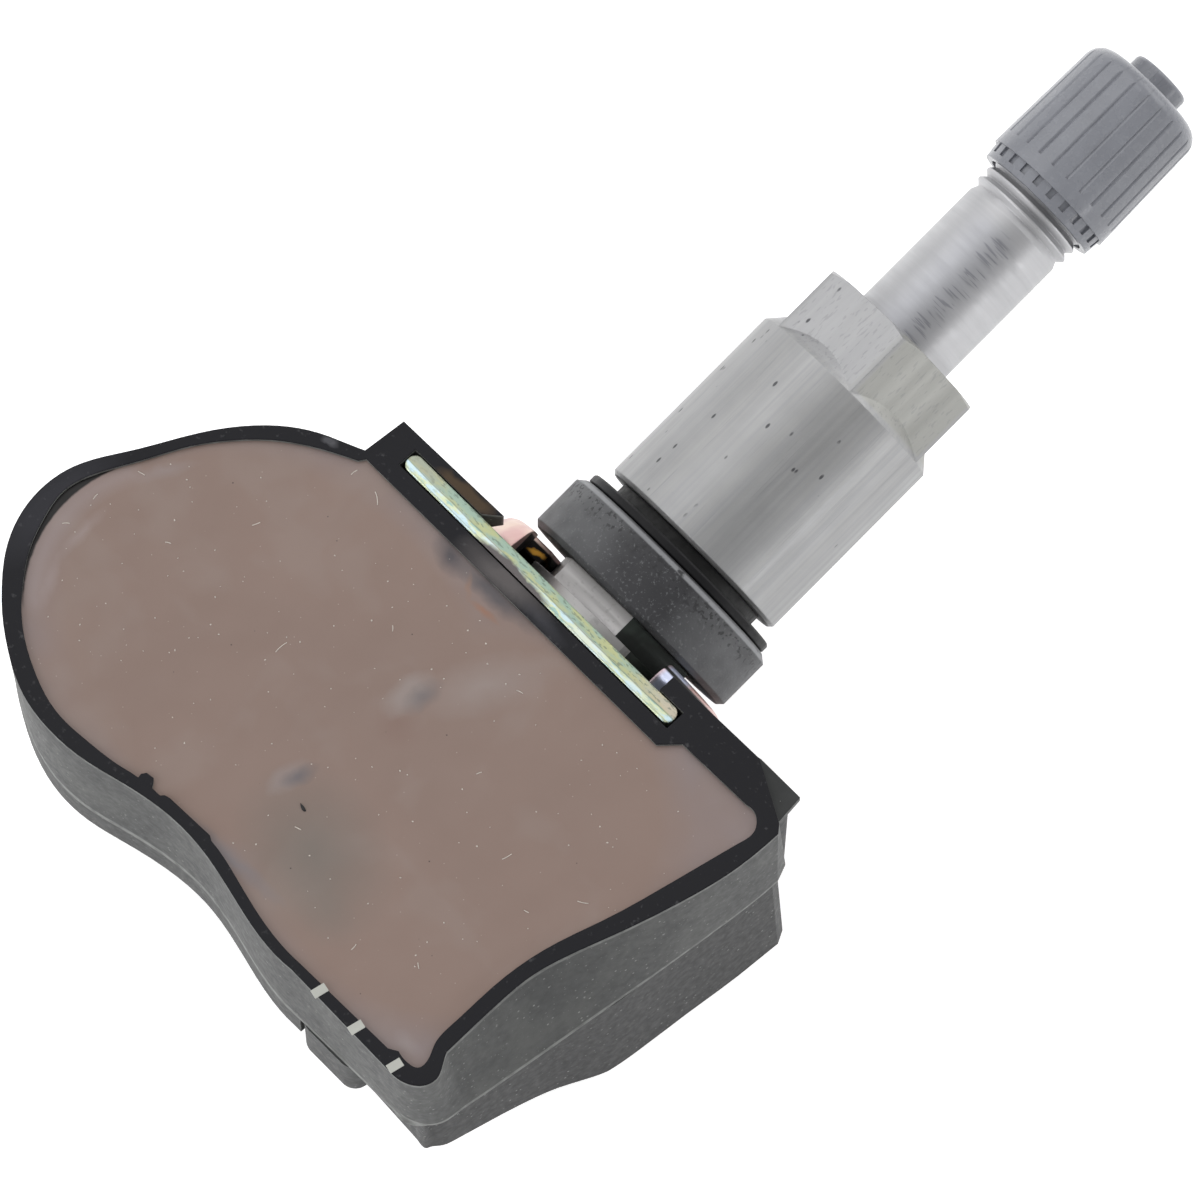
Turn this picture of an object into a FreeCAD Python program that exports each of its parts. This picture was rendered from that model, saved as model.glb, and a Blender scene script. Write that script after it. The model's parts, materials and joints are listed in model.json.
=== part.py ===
import FreeCAD, Part
import math
import os

# Tyre pressure sensor with a clamp-in valve, lying with its potted side up.
# Millimetres. The origin is where the valve's axis meets the rubber seat's front face.
# +X runs along the bracket, +Y away from the housing, +Z out of the potted side.
# The valve leaves the housing towards +Y and rises by VALVE_RISE.

V = FreeCAD.Vector
ORIGIN = V(0, 0, 0)
ALONG_X = V(1, 0, 0)
ALONG_Y = V(0, 1, 0)

# Overall places of the housing
VALVE_RISE = 11.0
TOP_Z = 7.65
HOUSING_DEPTH = 21.0
FRONT_Y = -7.0

# Loops round the housing: a stretch of one point runs straight to the next stretch, and a longer
# one is a smooth curve through its points
RIM = [
    [(-17.1, -7.3)],
    [(14.4, -6.75)],
    [(18.3, -8.85)],
    [(18.72, -9.35), (18.68, -10.9), (18.45, -13.2), (17.6, -17.0), (16.45, -20.8), (15.25, -24.3),
     (14.62, -26.9), (14.48, -29.0), (14.47, -31.4)],
    [(14.5, -33.9), (14.95, -34.7), (15.3, -35.5), (15.1, -36.35), (14.4, -37.0)],
    [(13.1, -37.3)],
    [(4.0, -37.15), (0.4, -37.0), (-2.6, -36.35), (-5.6, -35.8), (-9.0, -35.8), (-11.9, -36.35),
     (-15.0, -37.1), (-18.0, -37.3), (-20.6, -36.9), (-23.4, -35.6), (-25.3, -34.3), (-26.8, -32.95),
     (-28.3, -31.2), (-29.35, -29.1), (-29.75, -26.9), (-29.45, -24.5), (-28.6, -22.6),
     (-27.5, -20.75), (-26.4, -18.7), (-25.05, -16.35), (-23.45, -14.25), (-21.75, -12.65),
     (-20.1, -11.6), (-18.6, -10.93)],
    [(-17.4, -10.4)],
]
LEDGE = [
    [(-17.0, -7.4)],
    [(14.4, -6.9)],
    [(18.75, -8.45)],
    [(19.2, -9.6), (19.15, -11.0), (18.95, -13.2), (18.5, -17.0), (18.0, -20.8), (17.5, -24.3),
     (17.15, -26.9), (16.85, -29.0), (16.5, -31.4)],
    [(16.1, -33.9), (16.0, -34.75), (15.9, -35.4), (15.55, -36.15), (14.7, -36.85)],
    [(13.1, -37.2)],
    [(4.0, -37.35), (0.4, -37.0), (-2.6, -36.3), (-5.7, -35.85), (-9.1, -36.1), (-12.0, -36.75),
     (-15.2, -37.5), (-18.0, -37.5), (-20.5, -36.85), (-23.2, -35.55), (-25.1, -34.35),
     (-26.6, -33.1), (-28.2, -31.3), (-29.25, -29.1), (-29.65, -26.9), (-29.35, -24.5),
     (-28.5, -22.6), (-27.4, -20.75), (-26.3, -18.7), (-24.95, -16.4), (-23.35, -14.35),
     (-21.65, -12.75), (-20.0, -11.7), (-18.5, -11.05)],
    [(-17.3, -10.5)],
]
BASE = [
    [(-15.6, -7.4)],
    [(14.4, -6.9)],
    [(19.4, -8.95)],
    [(19.85, -9.8), (19.75, -11.2), (19.6, -13.2), (19.15, -17.0), (18.75, -20.8), (18.15, -24.3),
     (17.3, -26.9), (16.85, -29.0), (16.5, -31.4)],
    [(16.2, -33.9), (16.1, -34.75), (15.95, -35.4), (15.65, -36.0), (15.0, -36.4)],
    [(14.2, -36.45)],
    [(4.0, -35.9), (0.6, -35.4), (-2.4, -34.6), (-5.4, -34.15), (-8.8, -34.25), (-11.7, -34.8),
     (-14.7, -35.4), (-17.3, -35.5), (-19.5, -35.1), (-22.0, -34.05), (-23.8, -32.9),
     (-25.2, -31.75), (-26.7, -30.1), (-27.7, -28.3), (-28.1, -26.5), (-27.8, -24.5),
     (-27.0, -22.7), (-26.0, -20.9), (-24.9, -18.9), (-23.5, -16.8), (-21.9, -15.1),
     (-20.2, -13.8), (-18.9, -12.95), (-17.5, -12.3)],
    [(-15.8, -11.5)],
]
CAVITY = [
    [(-16.9, -10.75)],
    [(9.3, -10.75)],
    [(10.4, -9.55)],
    [(16.0, -9.45), (17.1, -9.65), (17.58, -10.4), (17.45, -11.5), (17.1, -13.0), (16.4, -16.1),
     (15.2, -20.9), (14.15, -24.3), (13.6, -27.2), (13.46, -29.5), (13.46, -32.2), (13.62, -34.1),
     (14.05, -35.1), (14.0, -35.85), (13.4, -36.1)],
    [(12.4, -36.0)],
    [(11.8, -36.35)],
    [(4.0, -36.5), (1.4, -36.4), (-0.7, -36.02), (-2.8, -35.5), (-4.3, -35.16)],
    [(-5.5, -35.0)],
    [(-5.8, -34.82), (-7.5, -34.88)],
    [(-9.3, -34.95)],
    [(-9.65, -35.05)],
    [(-9.85, -35.28)],
    [(-10.55, -35.3)],
    [(-10.7, -35.05)],
    [(-10.95, -34.78)],
    [(-11.5, -34.86)],
    [(-11.7, -35.15)],
    [(-11.65, -35.45)],
    [(-12.2, -35.55), (-13.8, -35.9), (-15.6, -36.1), (-17.4, -36.22), (-19.3, -36.0),
     (-21.2, -35.35), (-23.1, -34.4), (-25.0, -32.95), (-26.1, -31.75), (-27.3, -30.1),
     (-28.2, -28.0), (-28.64, -26.0), (-28.3, -24.2), (-27.5, -22.5), (-26.46, -20.5),
     (-25.3, -18.2), (-23.9, -16.2), (-22.2, -14.35), (-20.4, -12.95), (-18.6, -11.9)],
    [(-17.2, -11.2)],
]
WELL = [
    [(-15.8, -12.6)],
    [(16.8, -12.6)],
    [(13.9, -23.0)],
    [(12.9, -28.0)],
    [(12.9, -33.7)],
    [(-20.0, -33.7)],
    [(-24.0, -31.0)],
    [(-26.3, -26.6)],
    [(-24.7, -21.8)],
    [(-21.2, -16.2)],
]
END_SIDE_X = 15.0
BASE_END_DRAFT = 0.9
TRAY_END_DRAFT = 0.3
TRAY_LOWER_EDGE = 0.7

# Walls of the housing
TRAY_DEPTH = 9.6
SKIRT_DEPTH = 12.5
SKIRT_END_X = 4.6
BASE_BREAK_Y = -23.6
BASE_BACK_Y = -36.6
BASE_BACK_DEPTH = 15.3
POTTING_DROP = 0.25
TRAY_CAVITY_DEPTH = 8.3
WELL_FLOOR_Z = -6.5

# Jaw under the seat, foot on the back wall and thin plate at the cut corner
JAW_LEFT_X = -16.2
JAW_RIGHT_X = 16.1
JAW_Y = -5.2
JAW_ROOT = 3.0
JAW_ROUND = 0.6
FOOT_LEFT_X = 4.4
FOOT_RIGHT_X = 9.55
FOOT_Y = -37.42
FOOT_ROUND = 1.1
FOOT_REACH = 3.0
FOOT_DEPTH = 14.6
EAR_DROP = 0.9
EAR_THICK = 0.7
EAR = [(13.0, -6.8), (14.3, -6.5), (17.8, -6.5), (18.0, -8.5), (17.0, -10.5), (13.0, -10.5)]

# Bracket of plated sheet, with a drawn cup that the stem's head pulls against
SHEET = 1.2
BRACKET_Y = -8.8
BRACKET_LEFT_X = -15.1
BRACKET_RIGHT_X = 8.85
BRACKET_HEIGHT = 20.1
BRACKET_CORNER = 0.55
SLOT_GAP = 0.12
CUP_BASE_R = 10.4
CUP_CROWN_R = 9.5
CUP_CROWN_S = -4.75
CUP_EDGE_ROUND = 1.3
CUP_X = -0.8
CUP_Z = -1.9
CUP_TOP_Z = 7.2
CUP_HOLLOW_TOP_Z = 6.4
CUP_GAP = 0.3
WINDOW_R = 8.2
WINDOW_LEFT_X = -6.7
WINDOW_RIGHT_X = 5.7
WINDOW_LOW_Z = -0.5
NECK_GAP = 0.25
LIP_LEFT_END_X = -8.0
LIP_RIGHT_END_X = 6.85
LIP_LEAN = 1.4

# Valve stem, with distances along its own axis
SEAT_THICK = 4.28
SEAT_R = 8.37
SEAT_BACK_EDGE = 0.35
SEAT_LIP = 0.5
SEAT_LIP_LENGTH = 0.4
SPIGOT_R = 6.0
SPIGOT_END_S = 1.5
RING_R = 7.75
RING_THICK = 0.7
RING_EDGE = 0.12
FIT = 0.06
LOOSE_FIT = 0.1
FACE_GAP = 0.03
HEAD_R = 6.6
HEAD_THICK = 2.4
NECK_FLATS = 10.4
NECK_TURN = 13.8
SHANK_R = 4.0
NUT_THREAD_R = 4.5
NUT_THREAD_ROOT_R = 3.95
NUT_THREAD_PITCH = 1.0
NUT_THREAD_START_S = 2.2
NUT_THREAD_END_S = 13.0
STEM_R = 3.69
CAP_THREAD_R = 3.83
CAP_THREAD_ROOT_R = 3.47
CAP_THREAD_PITCH = 0.794
CAP_THREAD_LENGTH = 10.3
THREAD_CREST = 0.12
LEAD = 0.5
HEAD_LAP = 0.5
STEM_END_S = 41.3
AIR_BORE_R = 1.2
CORE_SEAT_DEPTH = 16.7

# Collar nut
NUT_START_S = SPIGOT_END_S + FACE_GAP
NUT_R = 7.11
NUT_SHOULDER_S = 15.35
NUT_SHOULDER_LENGTH = 1.45
NUT_END_S = 20.45
NUT_FLATS = 12.3
NUT_TURN = 77.4
NUT_CONE_INSET = 0.3
NUT_FOOT_EDGE = 0.25
NUT_BORE_R = 4.1
NUT_CHAMFER = 0.35

# Valve cap
CAP_SKIRT = 8.6
CAP_RIM_R = 4.44
CAP_RIM_LENGTH = 1.1
CAP_R = 4.73
CAP_FAR_R = 4.52
CAP_CROWN = 1.8
CAP_END_ROUND = 1.3
CAP_RIM_FLARE = 0.1
CAP_BOSS_ROUND = 0.35
CAP_BOSS_LAP = 0.2
CAP_BOSS_R = 2.1
CAP_BOSS_LENGTH = 1.15
CAP_FLUTES = 24
CAP_FLUTE_DEPTH = 0.13
CAP_FLUTE_WIDTH = 0.36
CAP_FLUTE_SETBACK = 1.0
CAP_NOTCH_WIDTH = 0.45
CAP_NOTCH_DEPTH = 0.12
CAP_NOTCH_LENGTH = 0.66
CAP_SEAL_BORE_R = 1.6
CAP_SEAL_THICK = 0.6

# Valve core
CORE_HEAD_R = 2.45
CORE_HEAD_LENGTH = 3.6
CORE_DROP = 0.6
CORE_LENGTH = 11.1
CORE_BARREL_R = 1.75
CORE_CONE_R = 2.15
CORE_BORE_R = 1.15
CORE_NOSE = 0.3
CORE_SLOT_WIDTH = 0.9
CORE_SLOT_DEPTH = 1.4
GASKET_SETBACK = 1.4
GASKET_CONE_LENGTH = 1.2
GASKET_LENGTH = 2.0
GASKET_NOSE = 0.2
PIN_R = 0.5
PIN_STAND = 0.3
PIN_LENGTH = 15.4
PIN_COLLAR_R = 0.95
PIN_COLLAR_LENGTH = 0.5
PIN_TIP = 0.2
PLUNGER_R = 1.7
PLUNGER_LENGTH = 1.3
PLUNGER_SEAL = 0.45
PLUNGER_SEAL_DRAW = 0.15
SPRING_R = 0.95
SPRING_WIRE_R = 0.13
SPRING_TURNS = 6
SPRING_LENGTH = 4.2
SPRING_SETBACK = 1.8

# Parts under the potting
CELL_R = 10.0
CELL_THICK = 3.2
CELL_X = -13.4
CELL_Y = -23.35
CELL_Z = WELL_FLOOR_Z + 0.35
TAB_WIDTH = 3.0
TAB_THICK = 0.2
TAB_REACH = 3.0
TAB_LEG_GAP = 0.4
BOARD_THICK = 1.0
BOARD_Z = -1.6
BOARD_INSET = 0.9
CHIP_SIZE = 7.0
CHIP_THICK = 2.0
CHIP_X = 6.2
CHIP_Y = -18.5
PORT_R = 0.8
PORT_SEAL_R = 1.9
COIL_LENGTH = 11.0
COIL_SIDE = 2.4
COIL_WIRE = 0.75
COIL_SHARE = 0.66
COIL_ROUND = 0.6
COIL_X = 5.6
COIL_Y = -31.0
CRYSTAL_LENGTH = 3.2
CRYSTAL_WIDTH = 2.5
CRYSTAL_THICK = 0.8
CRYSTAL_X = 6.6
CRYSTAL_Y = -25.6
ANTENNA_WIRE_R = 0.4
ANTENNA_SPAN = 20.0
ANTENNA_RISE = 2.6
ANTENNA_X = -4.0
ANTENNA_Y = -13.6
CAPACITOR_LENGTH = 1.6
CAPACITOR_WIDTH = 0.8
CAPACITOR_PITCH = 2.2
CAPACITOR_X = -4.2
CAPACITOR_Y = -30.4
CAPACITOR_COUNT = 4
POT_GAP = 0.02

CAP_THREAD_START_S = STEM_END_S - CAP_THREAD_LENGTH
CAP_START_S = STEM_END_S - CAP_SKIRT
CAP_STEP_S = CAP_START_S + CAP_RIM_LENGTH
CAP_END_S = STEM_END_S + CAP_CROWN
CAP_BOSS_END_S = CAP_END_S + CAP_BOSS_LENGTH
CORE_SEAT_S = STEM_END_S - CORE_SEAT_DEPTH
CORE_END_S = STEM_END_S - CORE_DROP
CORE_BARREL_START_S = CORE_END_S - CORE_LENGTH
PIN_END_S = CORE_END_S + PIN_STAND
PIN_START_S = PIN_END_S - PIN_LENGTH
BASE_Z = TOP_Z - HOUSING_DEPTH
LEDGE_Z = TOP_Z - TRAY_DEPTH
SKIRT_Z = TOP_Z - SKIRT_DEPTH
SLOT_FRONT_Y = BRACKET_Y + SHEET / 2
SLOT_BACK_Y = BRACKET_Y - SHEET / 2
FAR = 100.0
OVERCUT = 1.0


def on_valve(shape):
    """Turn a shape built along +Y on to the valve's rising axis."""
    turned = shape.copy()
    turned.rotate(ORIGIN, ALONG_X, VALVE_RISE)
    return turned


def valve_point(s, up=0.0):
    """Return the place at s along the valve's axis and up above it."""
    rise = math.radians(VALVE_RISE)
    return V(0, s * math.cos(rise) - up * math.sin(rise), s * math.sin(rise) + up * math.cos(rise))


def turned_profile(points):
    """Spin (s, radius) corners about +Y and lay the solid on the valve's axis."""
    wire = Part.makePolygon([V(r, s, 0) for s, r in points] + [V(points[0][1], points[0][0], 0)])
    return on_valve(Part.Face(wire).revolve(ORIGIN, ALONG_Y, 360))


def rod(start, end, radius):
    """Return a round bar along the valve's axis."""
    return on_valve(Part.makeCylinder(radius, end - start, V(0, start, 0), ALONG_Y))


def tube(start, end, outer, inner):
    """Return a tube along the valve's axis."""
    return rod(start, end, outer).cut(rod(start - OVERCUT, end + OVERCUT, inner))


def hexagon_bar(start, end, flats, turn):
    """Return a six-sided bar along the valve's axis, turned about it."""
    corner_r = flats / math.sqrt(3)
    corners = []
    for side in range(7):
        angle = math.radians(60 * side + turn)
        corners.append(V(corner_r * math.cos(angle), start, corner_r * math.sin(angle)))
    return on_valve(Part.Face(Part.makePolygon(corners)).extrude(V(0, end - start, 0)))


def loop(stretches, z, end_draft=0.0):
    """Return a closed wire at height z, with the far end's points drawn in by end_draft."""
    def at(point):
        shift = end_draft if point[0] > END_SIDE_X else 0
        return V(point[0] - shift, point[1], z)

    edges = []
    for number, stretch in enumerate(stretches):
        following = stretches[(number + 1) % len(stretches)]
        points = [at(point) for point in stretch + following[:1]]
        if len(stretch) == 1:
            edges.append(Part.makeLine(*points))
        else:
            curve = Part.BSplineCurve()
            curve.interpolate(points)
            edges.append(curve.toShape())
    return Part.Wire(edges)


def prism(wire, z_low, z_high):
    """Return the solid between two heights over a flat wire."""
    flat = Part.Face(wire)
    flat.translate(V(0, 0, z_low - wire.BoundBox.ZMin))
    return flat.extrude(V(0, 0, z_high - z_low))


def above(z):
    """Return all the space above a height."""
    return Part.makeBox(2 * FAR, 2 * FAR, FAR, V(-FAR, -FAR, z))


def below(z):
    """Return all the space below a height."""
    return Part.makeBox(2 * FAR, 2 * FAR, FAR, V(-FAR, -FAR, z - FAR))


def behind(y):
    """Return all the space on the housing's side of an upright plane."""
    return Part.makeBox(2 * FAR, FAR, 2 * FAR, V(-FAR, y - FAR, -FAR))


def upright_edges(shape):
    """Return the edges that run up and down."""
    boxes = [(edge, edge.BoundBox) for edge in shape.Edges]
    return [edge for edge, box in boxes if box.ZLength > box.XLength + box.YLength]


def base_block():
    """Return the lower part of the housing, stepped in and rising towards its back."""
    block = Part.makeLoft([loop(BASE, LEDGE_Z, BASE_END_DRAFT), loop(BASE, BASE_Z)], True, True)
    rise = HOUSING_DEPTH - BASE_BACK_DEPTH
    run = BASE_BREAK_Y - BASE_BACK_Y
    wedge = Part.Face(Part.makePolygon([
        V(-FAR, BASE_BREAK_Y, BASE_Z),
        V(-FAR, BASE_BREAK_Y - 2 * run, BASE_Z + 2 * rise),
        V(-FAR, BASE_BREAK_Y - 2 * run, BASE_Z - rise),
        V(-FAR, BASE_BREAK_Y, BASE_Z - rise),
        V(-FAR, BASE_BREAK_Y, BASE_Z),
    ])).extrude(V(2 * FAR, 0, 0))
    return block.cut(wedge)


def cup():
    """Return the drawn cup's outer form, with its crown's edge rounded."""
    base = Part.Wire(Part.makeCircle(CUP_BASE_R, V(CUP_X, SLOT_FRONT_Y, CUP_Z), ALONG_Y))
    crown = Part.Wire(Part.makeCircle(CUP_CROWN_R, valve_point(CUP_CROWN_S), valve_point(1)))
    shell = Part.makeLoft([base, crown], True)
    crown_edges = [edge for edge in shell.Edges
                   if len(edge.Vertexes) == 1 and edge.CenterOfMass.y > SLOT_FRONT_Y + SHEET]
    return shell.makeFillet(CUP_EDGE_ROUND, crown_edges).cut(above(CUP_TOP_Z))


def cup_hollow():
    """Return the space inside the drawn cup, which leaves the sheet's upper edge whole."""
    base = Part.Wire(Part.makeCircle(CUP_BASE_R - SHEET, V(CUP_X, SLOT_BACK_Y, CUP_Z), ALONG_Y))
    crown = Part.Wire(Part.makeCircle(CUP_CROWN_R - SHEET, valve_point(CUP_CROWN_S - SHEET), valve_point(1)))
    return Part.makeLoft([base, crown], True).cut(above(CUP_HOLLOW_TOP_Z))


def neck_window():
    """Return the opening in the cup's upper half that shows the stem's neck."""
    opening = rod(-FAR, FAR, WINDOW_R).cut(behind(SLOT_FRONT_Y)).cut(below(WINDOW_LOW_Z))
    return opening.fuse(Part.makeBox(WINDOW_RIGHT_X - WINDOW_LEFT_X, FAR, FAR,
                                     V(WINDOW_LEFT_X, SLOT_FRONT_Y, WINDOW_LOW_Z)))


def bracket():
    """Return the plated sheet with its drawn cup and the window round the stem's neck."""
    bottom = TOP_Z - BRACKET_HEIGHT
    width = BRACKET_RIGHT_X - BRACKET_LEFT_X
    plate = Part.makeBox(width, SHEET, BRACKET_HEIGHT, V(BRACKET_LEFT_X, SLOT_BACK_Y, bottom))
    plate = plate.makeFillet(BRACKET_CORNER, upright_edges(plate))
    sheet = plate.fuse(cup()).cut(cup_hollow()).cut(neck_window())
    neck_room = rod(CUP_CROWN_S - SHEET - HEAD_LAP, 0, NECK_FLATS / math.sqrt(3) + NECK_GAP)
    return sheet.cut(neck_room).removeSplitter()


def housing():
    """Return the moulded housing: tray, skirt, stepped base, slot for the bracket and lips."""
    tray = Part.makeLoft([loop(RIM, TOP_Z), loop(LEDGE, LEDGE_Z + TRAY_LOWER_EDGE),
                          loop(LEDGE, LEDGE_Z, TRAY_END_DRAFT)], True, True)
    skirt = prism(loop(LEDGE, LEDGE_Z), SKIRT_Z, LEDGE_Z)
    skirt = skirt.cut(Part.makeBox(FAR, 2 * FAR, FAR, V(SKIRT_END_X, -FAR, SKIRT_Z - OVERCUT)))
    body = tray.fuse([skirt, base_block(), jaw(), foot(), ear()])
    body = body.cut(tray_cavity()).cut(well())
    body = body.cut(bracket_room()).cut(head_room()).cut(port(BASE_Z, WELL_FLOOR_Z))
    return body.removeSplitter()


def jaw():
    """Return the lower front of the housing, which reaches under the seat."""
    block = Part.makeBox(JAW_RIGHT_X - JAW_LEFT_X, JAW_Y - FRONT_Y + JAW_ROOT, LEDGE_Z - BASE_Z,
                         V(JAW_LEFT_X, FRONT_Y - JAW_ROOT, BASE_Z))
    upright = [edge for edge in upright_edges(block) if edge.CenterOfMass.y > FRONT_Y]
    return block.makeFillet(JAW_ROUND, upright)


def foot():
    """Return the foot on the back wall, with rounded outer corners."""
    low = TOP_Z - FOOT_DEPTH
    block = Part.makeBox(FOOT_RIGHT_X - FOOT_LEFT_X, FOOT_REACH, LEDGE_Z - low,
                         V(FOOT_LEFT_X, FOOT_Y, low))
    upright = [edge for edge in upright_edges(block) if edge.CenterOfMass.y < FOOT_Y + FOOT_ROUND]
    return block.makeFillet(FOOT_ROUND, upright)


def ear():
    """Return the thin corner plate that stays where the tray's corner is cut off."""
    corners = [V(x, y, TOP_Z - EAR_DROP) for x, y in EAR + EAR[:1]]
    return Part.Face(Part.makePolygon(corners)).extrude(V(0, 0, -EAR_THICK))


def tray_cavity():
    """Return the potted space inside the rim, behind the bracket's slot."""
    return prism(loop(CAVITY, TOP_Z), TOP_Z - TRAY_CAVITY_DEPTH, TOP_Z + OVERCUT)


def well_layer(inset, z_low, z_high):
    """Return a slab of the deeper space in the base, drawn in by inset."""
    outline = loop(WELL, WELL_FLOOR_Z)
    return prism(outline.makeOffset2D(-inset) if inset else outline, z_low, z_high)


def well():
    """Return the deeper space in the base."""
    return well_layer(0, WELL_FLOOR_Z, TOP_Z - TRAY_CAVITY_DEPTH)


def bracket_room():
    """Return the slot for the bracket's sheet and the way out for its cup."""
    bottom = TOP_Z - BRACKET_HEIGHT - SLOT_GAP
    low_x = BRACKET_LEFT_X - SLOT_GAP
    width = BRACKET_RIGHT_X - BRACKET_LEFT_X + 2 * SLOT_GAP
    slot = Part.makeBox(width, SHEET + 2 * SLOT_GAP, TOP_Z + OVERCUT - bottom,
                        V(low_x, SLOT_BACK_Y - SLOT_GAP, bottom))
    gate = Part.makeBox(LIP_RIGHT_END_X - LIP_LEFT_END_X, FAR, TOP_Z + OVERCUT - CUP_Z,
                        V(LIP_LEFT_END_X, SLOT_FRONT_Y, CUP_Z))
    lean = Part.Face(Part.makePolygon([
        V(LIP_LEFT_END_X, FRONT_Y, CUP_Z),
        V(LIP_LEFT_END_X - LIP_LEAN, SLOT_FRONT_Y, CUP_Z),
        V(LIP_LEFT_END_X, SLOT_FRONT_Y, CUP_Z),
        V(LIP_LEFT_END_X, FRONT_Y, CUP_Z),
    ])).extrude(V(0, 0, TOP_Z + OVERCUT - CUP_Z))
    round_way = Part.makeCylinder(CUP_BASE_R + CUP_GAP, FAR,
                                  V(CUP_X, SLOT_FRONT_Y - SLOT_GAP, CUP_Z), ALONG_Y)
    return slot.fuse([gate, lean, round_way])


def head_room():
    """Return the blind pocket behind the bracket that the stem's head fills."""
    pocket_r = HEAD_R + CUP_GAP
    start = CUP_CROWN_S - SHEET - HEAD_THICK - CUP_GAP
    return rod(start, CUP_CROWN_S, pocket_r)


def port(z_low, z_high):
    """Return the cutter of the upright bore that leads the tyre's air to the sensing chip."""
    return Part.makeCylinder(PORT_R, z_high - z_low + 2 * OVERCUT, V(CHIP_X, CHIP_Y, z_low - OVERCUT))


def ridges(start, end, pitch, crest_r, root_r):
    """Return the (s, radius) corners of a thread's ridges, drawn as a row of rings."""
    points = []
    for number in range(int((end - start) / pitch)):
        low = start + number * pitch
        middle = low + pitch / 2
        points += [(low, root_r), (middle - THREAD_CREST / 2, crest_r),
                   (middle + THREAD_CREST / 2, crest_r)]
    return points + [(points[-3][0] + pitch, root_r)]


def stem():
    """Return the valve stem: head, six-sided neck, threaded shank, tail and bored middle."""
    head_end = CUP_CROWN_S - SHEET
    head = rod(head_end - HEAD_THICK, head_end, HEAD_R)
    neck = hexagon_bar(head_end - HEAD_LAP, -SEAT_THICK, NECK_FLATS, NECK_TURN)
    nut_thread = ridges(NUT_THREAD_START_S, NUT_THREAD_END_S, NUT_THREAD_PITCH,
                        NUT_THREAD_R, NUT_THREAD_ROOT_R)
    cap_thread = ridges(CAP_THREAD_START_S, STEM_END_S - LEAD, CAP_THREAD_PITCH,
                        CAP_THREAD_R, CAP_THREAD_ROOT_R)
    body = turned_profile(
        [(head_end - HEAD_LAP, 0), (head_end - HEAD_LAP, SHANK_R), (SPIGOT_END_S, SHANK_R)]
        + nut_thread + [(NUT_THREAD_END_S + LEAD, STEM_R), (CAP_THREAD_START_S - LEAD, STEM_R)]
        + cap_thread + [(STEM_END_S, CAP_THREAD_ROOT_R - LEAD / 2), (STEM_END_S, 0)])
    air_way = rod(head_end - HEAD_THICK - OVERCUT, STEM_END_S + OVERCUT, AIR_BORE_R)
    barrel_room = rod(CORE_SEAT_S, STEM_END_S + OVERCUT, CORE_CONE_R + FIT)
    head_bore = rod(CORE_END_S - CORE_HEAD_LENGTH, STEM_END_S + OVERCUT, CORE_HEAD_R)
    return head.fuse([neck, body]).cut(air_way.fuse([barrel_room, head_bore])).removeSplitter()


def seat():
    """Return the rubber seat with the spigot that centres it in the wheel's hole."""
    return turned_profile([
        (-SEAT_THICK, SHANK_R), (-SEAT_THICK, SEAT_R - SEAT_BACK_EDGE),
        (-SEAT_THICK + SEAT_BACK_EDGE, SEAT_R), (-SEAT_LIP_LENGTH, SEAT_R),
        (0, SEAT_R - SEAT_LIP), (0, SPIGOT_R), (SPIGOT_END_S, SPIGOT_R),
        (SPIGOT_END_S, SHANK_R),
    ])


def seat_ring():
    """Return the thin ring between the rubber seat and the nut."""
    return turned_profile([
        (FACE_GAP, SPIGOT_R + LOOSE_FIT), (FACE_GAP, RING_R - RING_EDGE),
        (FACE_GAP + RING_EDGE, RING_R), (RING_THICK - RING_EDGE, RING_R),
        (RING_THICK, RING_R - RING_EDGE),
        (RING_THICK, SPIGOT_R + LOOSE_FIT),
    ])


def nut():
    """Return the collar nut: turned from one bar, with six flats milled at its far end."""
    body = turned_profile([
        (NUT_START_S, NUT_THREAD_R + FIT), (NUT_START_S, NUT_R - NUT_FOOT_EDGE),
        (NUT_START_S + NUT_FOOT_EDGE, NUT_R),
        (NUT_END_S - NUT_CHAMFER, NUT_R), (NUT_END_S, NUT_R - 2 * NUT_CHAMFER),
        (NUT_END_S, NUT_BORE_R), (NUT_THREAD_END_S + LEAD, NUT_BORE_R),
        (NUT_THREAD_END_S + LOOSE_FIT, NUT_THREAD_R + FIT),
    ])
    flat_r = NUT_FLATS / 2
    cone_end = NUT_SHOULDER_S + NUT_SHOULDER_LENGTH
    sleeve = turned_profile([
        (NUT_SHOULDER_S, NUT_R), (cone_end, flat_r - NUT_CONE_INSET),
        (NUT_END_S + OVERCUT, flat_r - NUT_CONE_INSET),
        (NUT_END_S + OVERCUT, NUT_R + OVERCUT), (NUT_SHOULDER_S, NUT_R + OVERCUT),
    ])
    milled = sleeve.cut(hexagon_bar(NUT_SHOULDER_S - OVERCUT, NUT_END_S + 2 * OVERCUT, NUT_FLATS, NUT_TURN))
    return body.cut(milled).removeSplitter()


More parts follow.
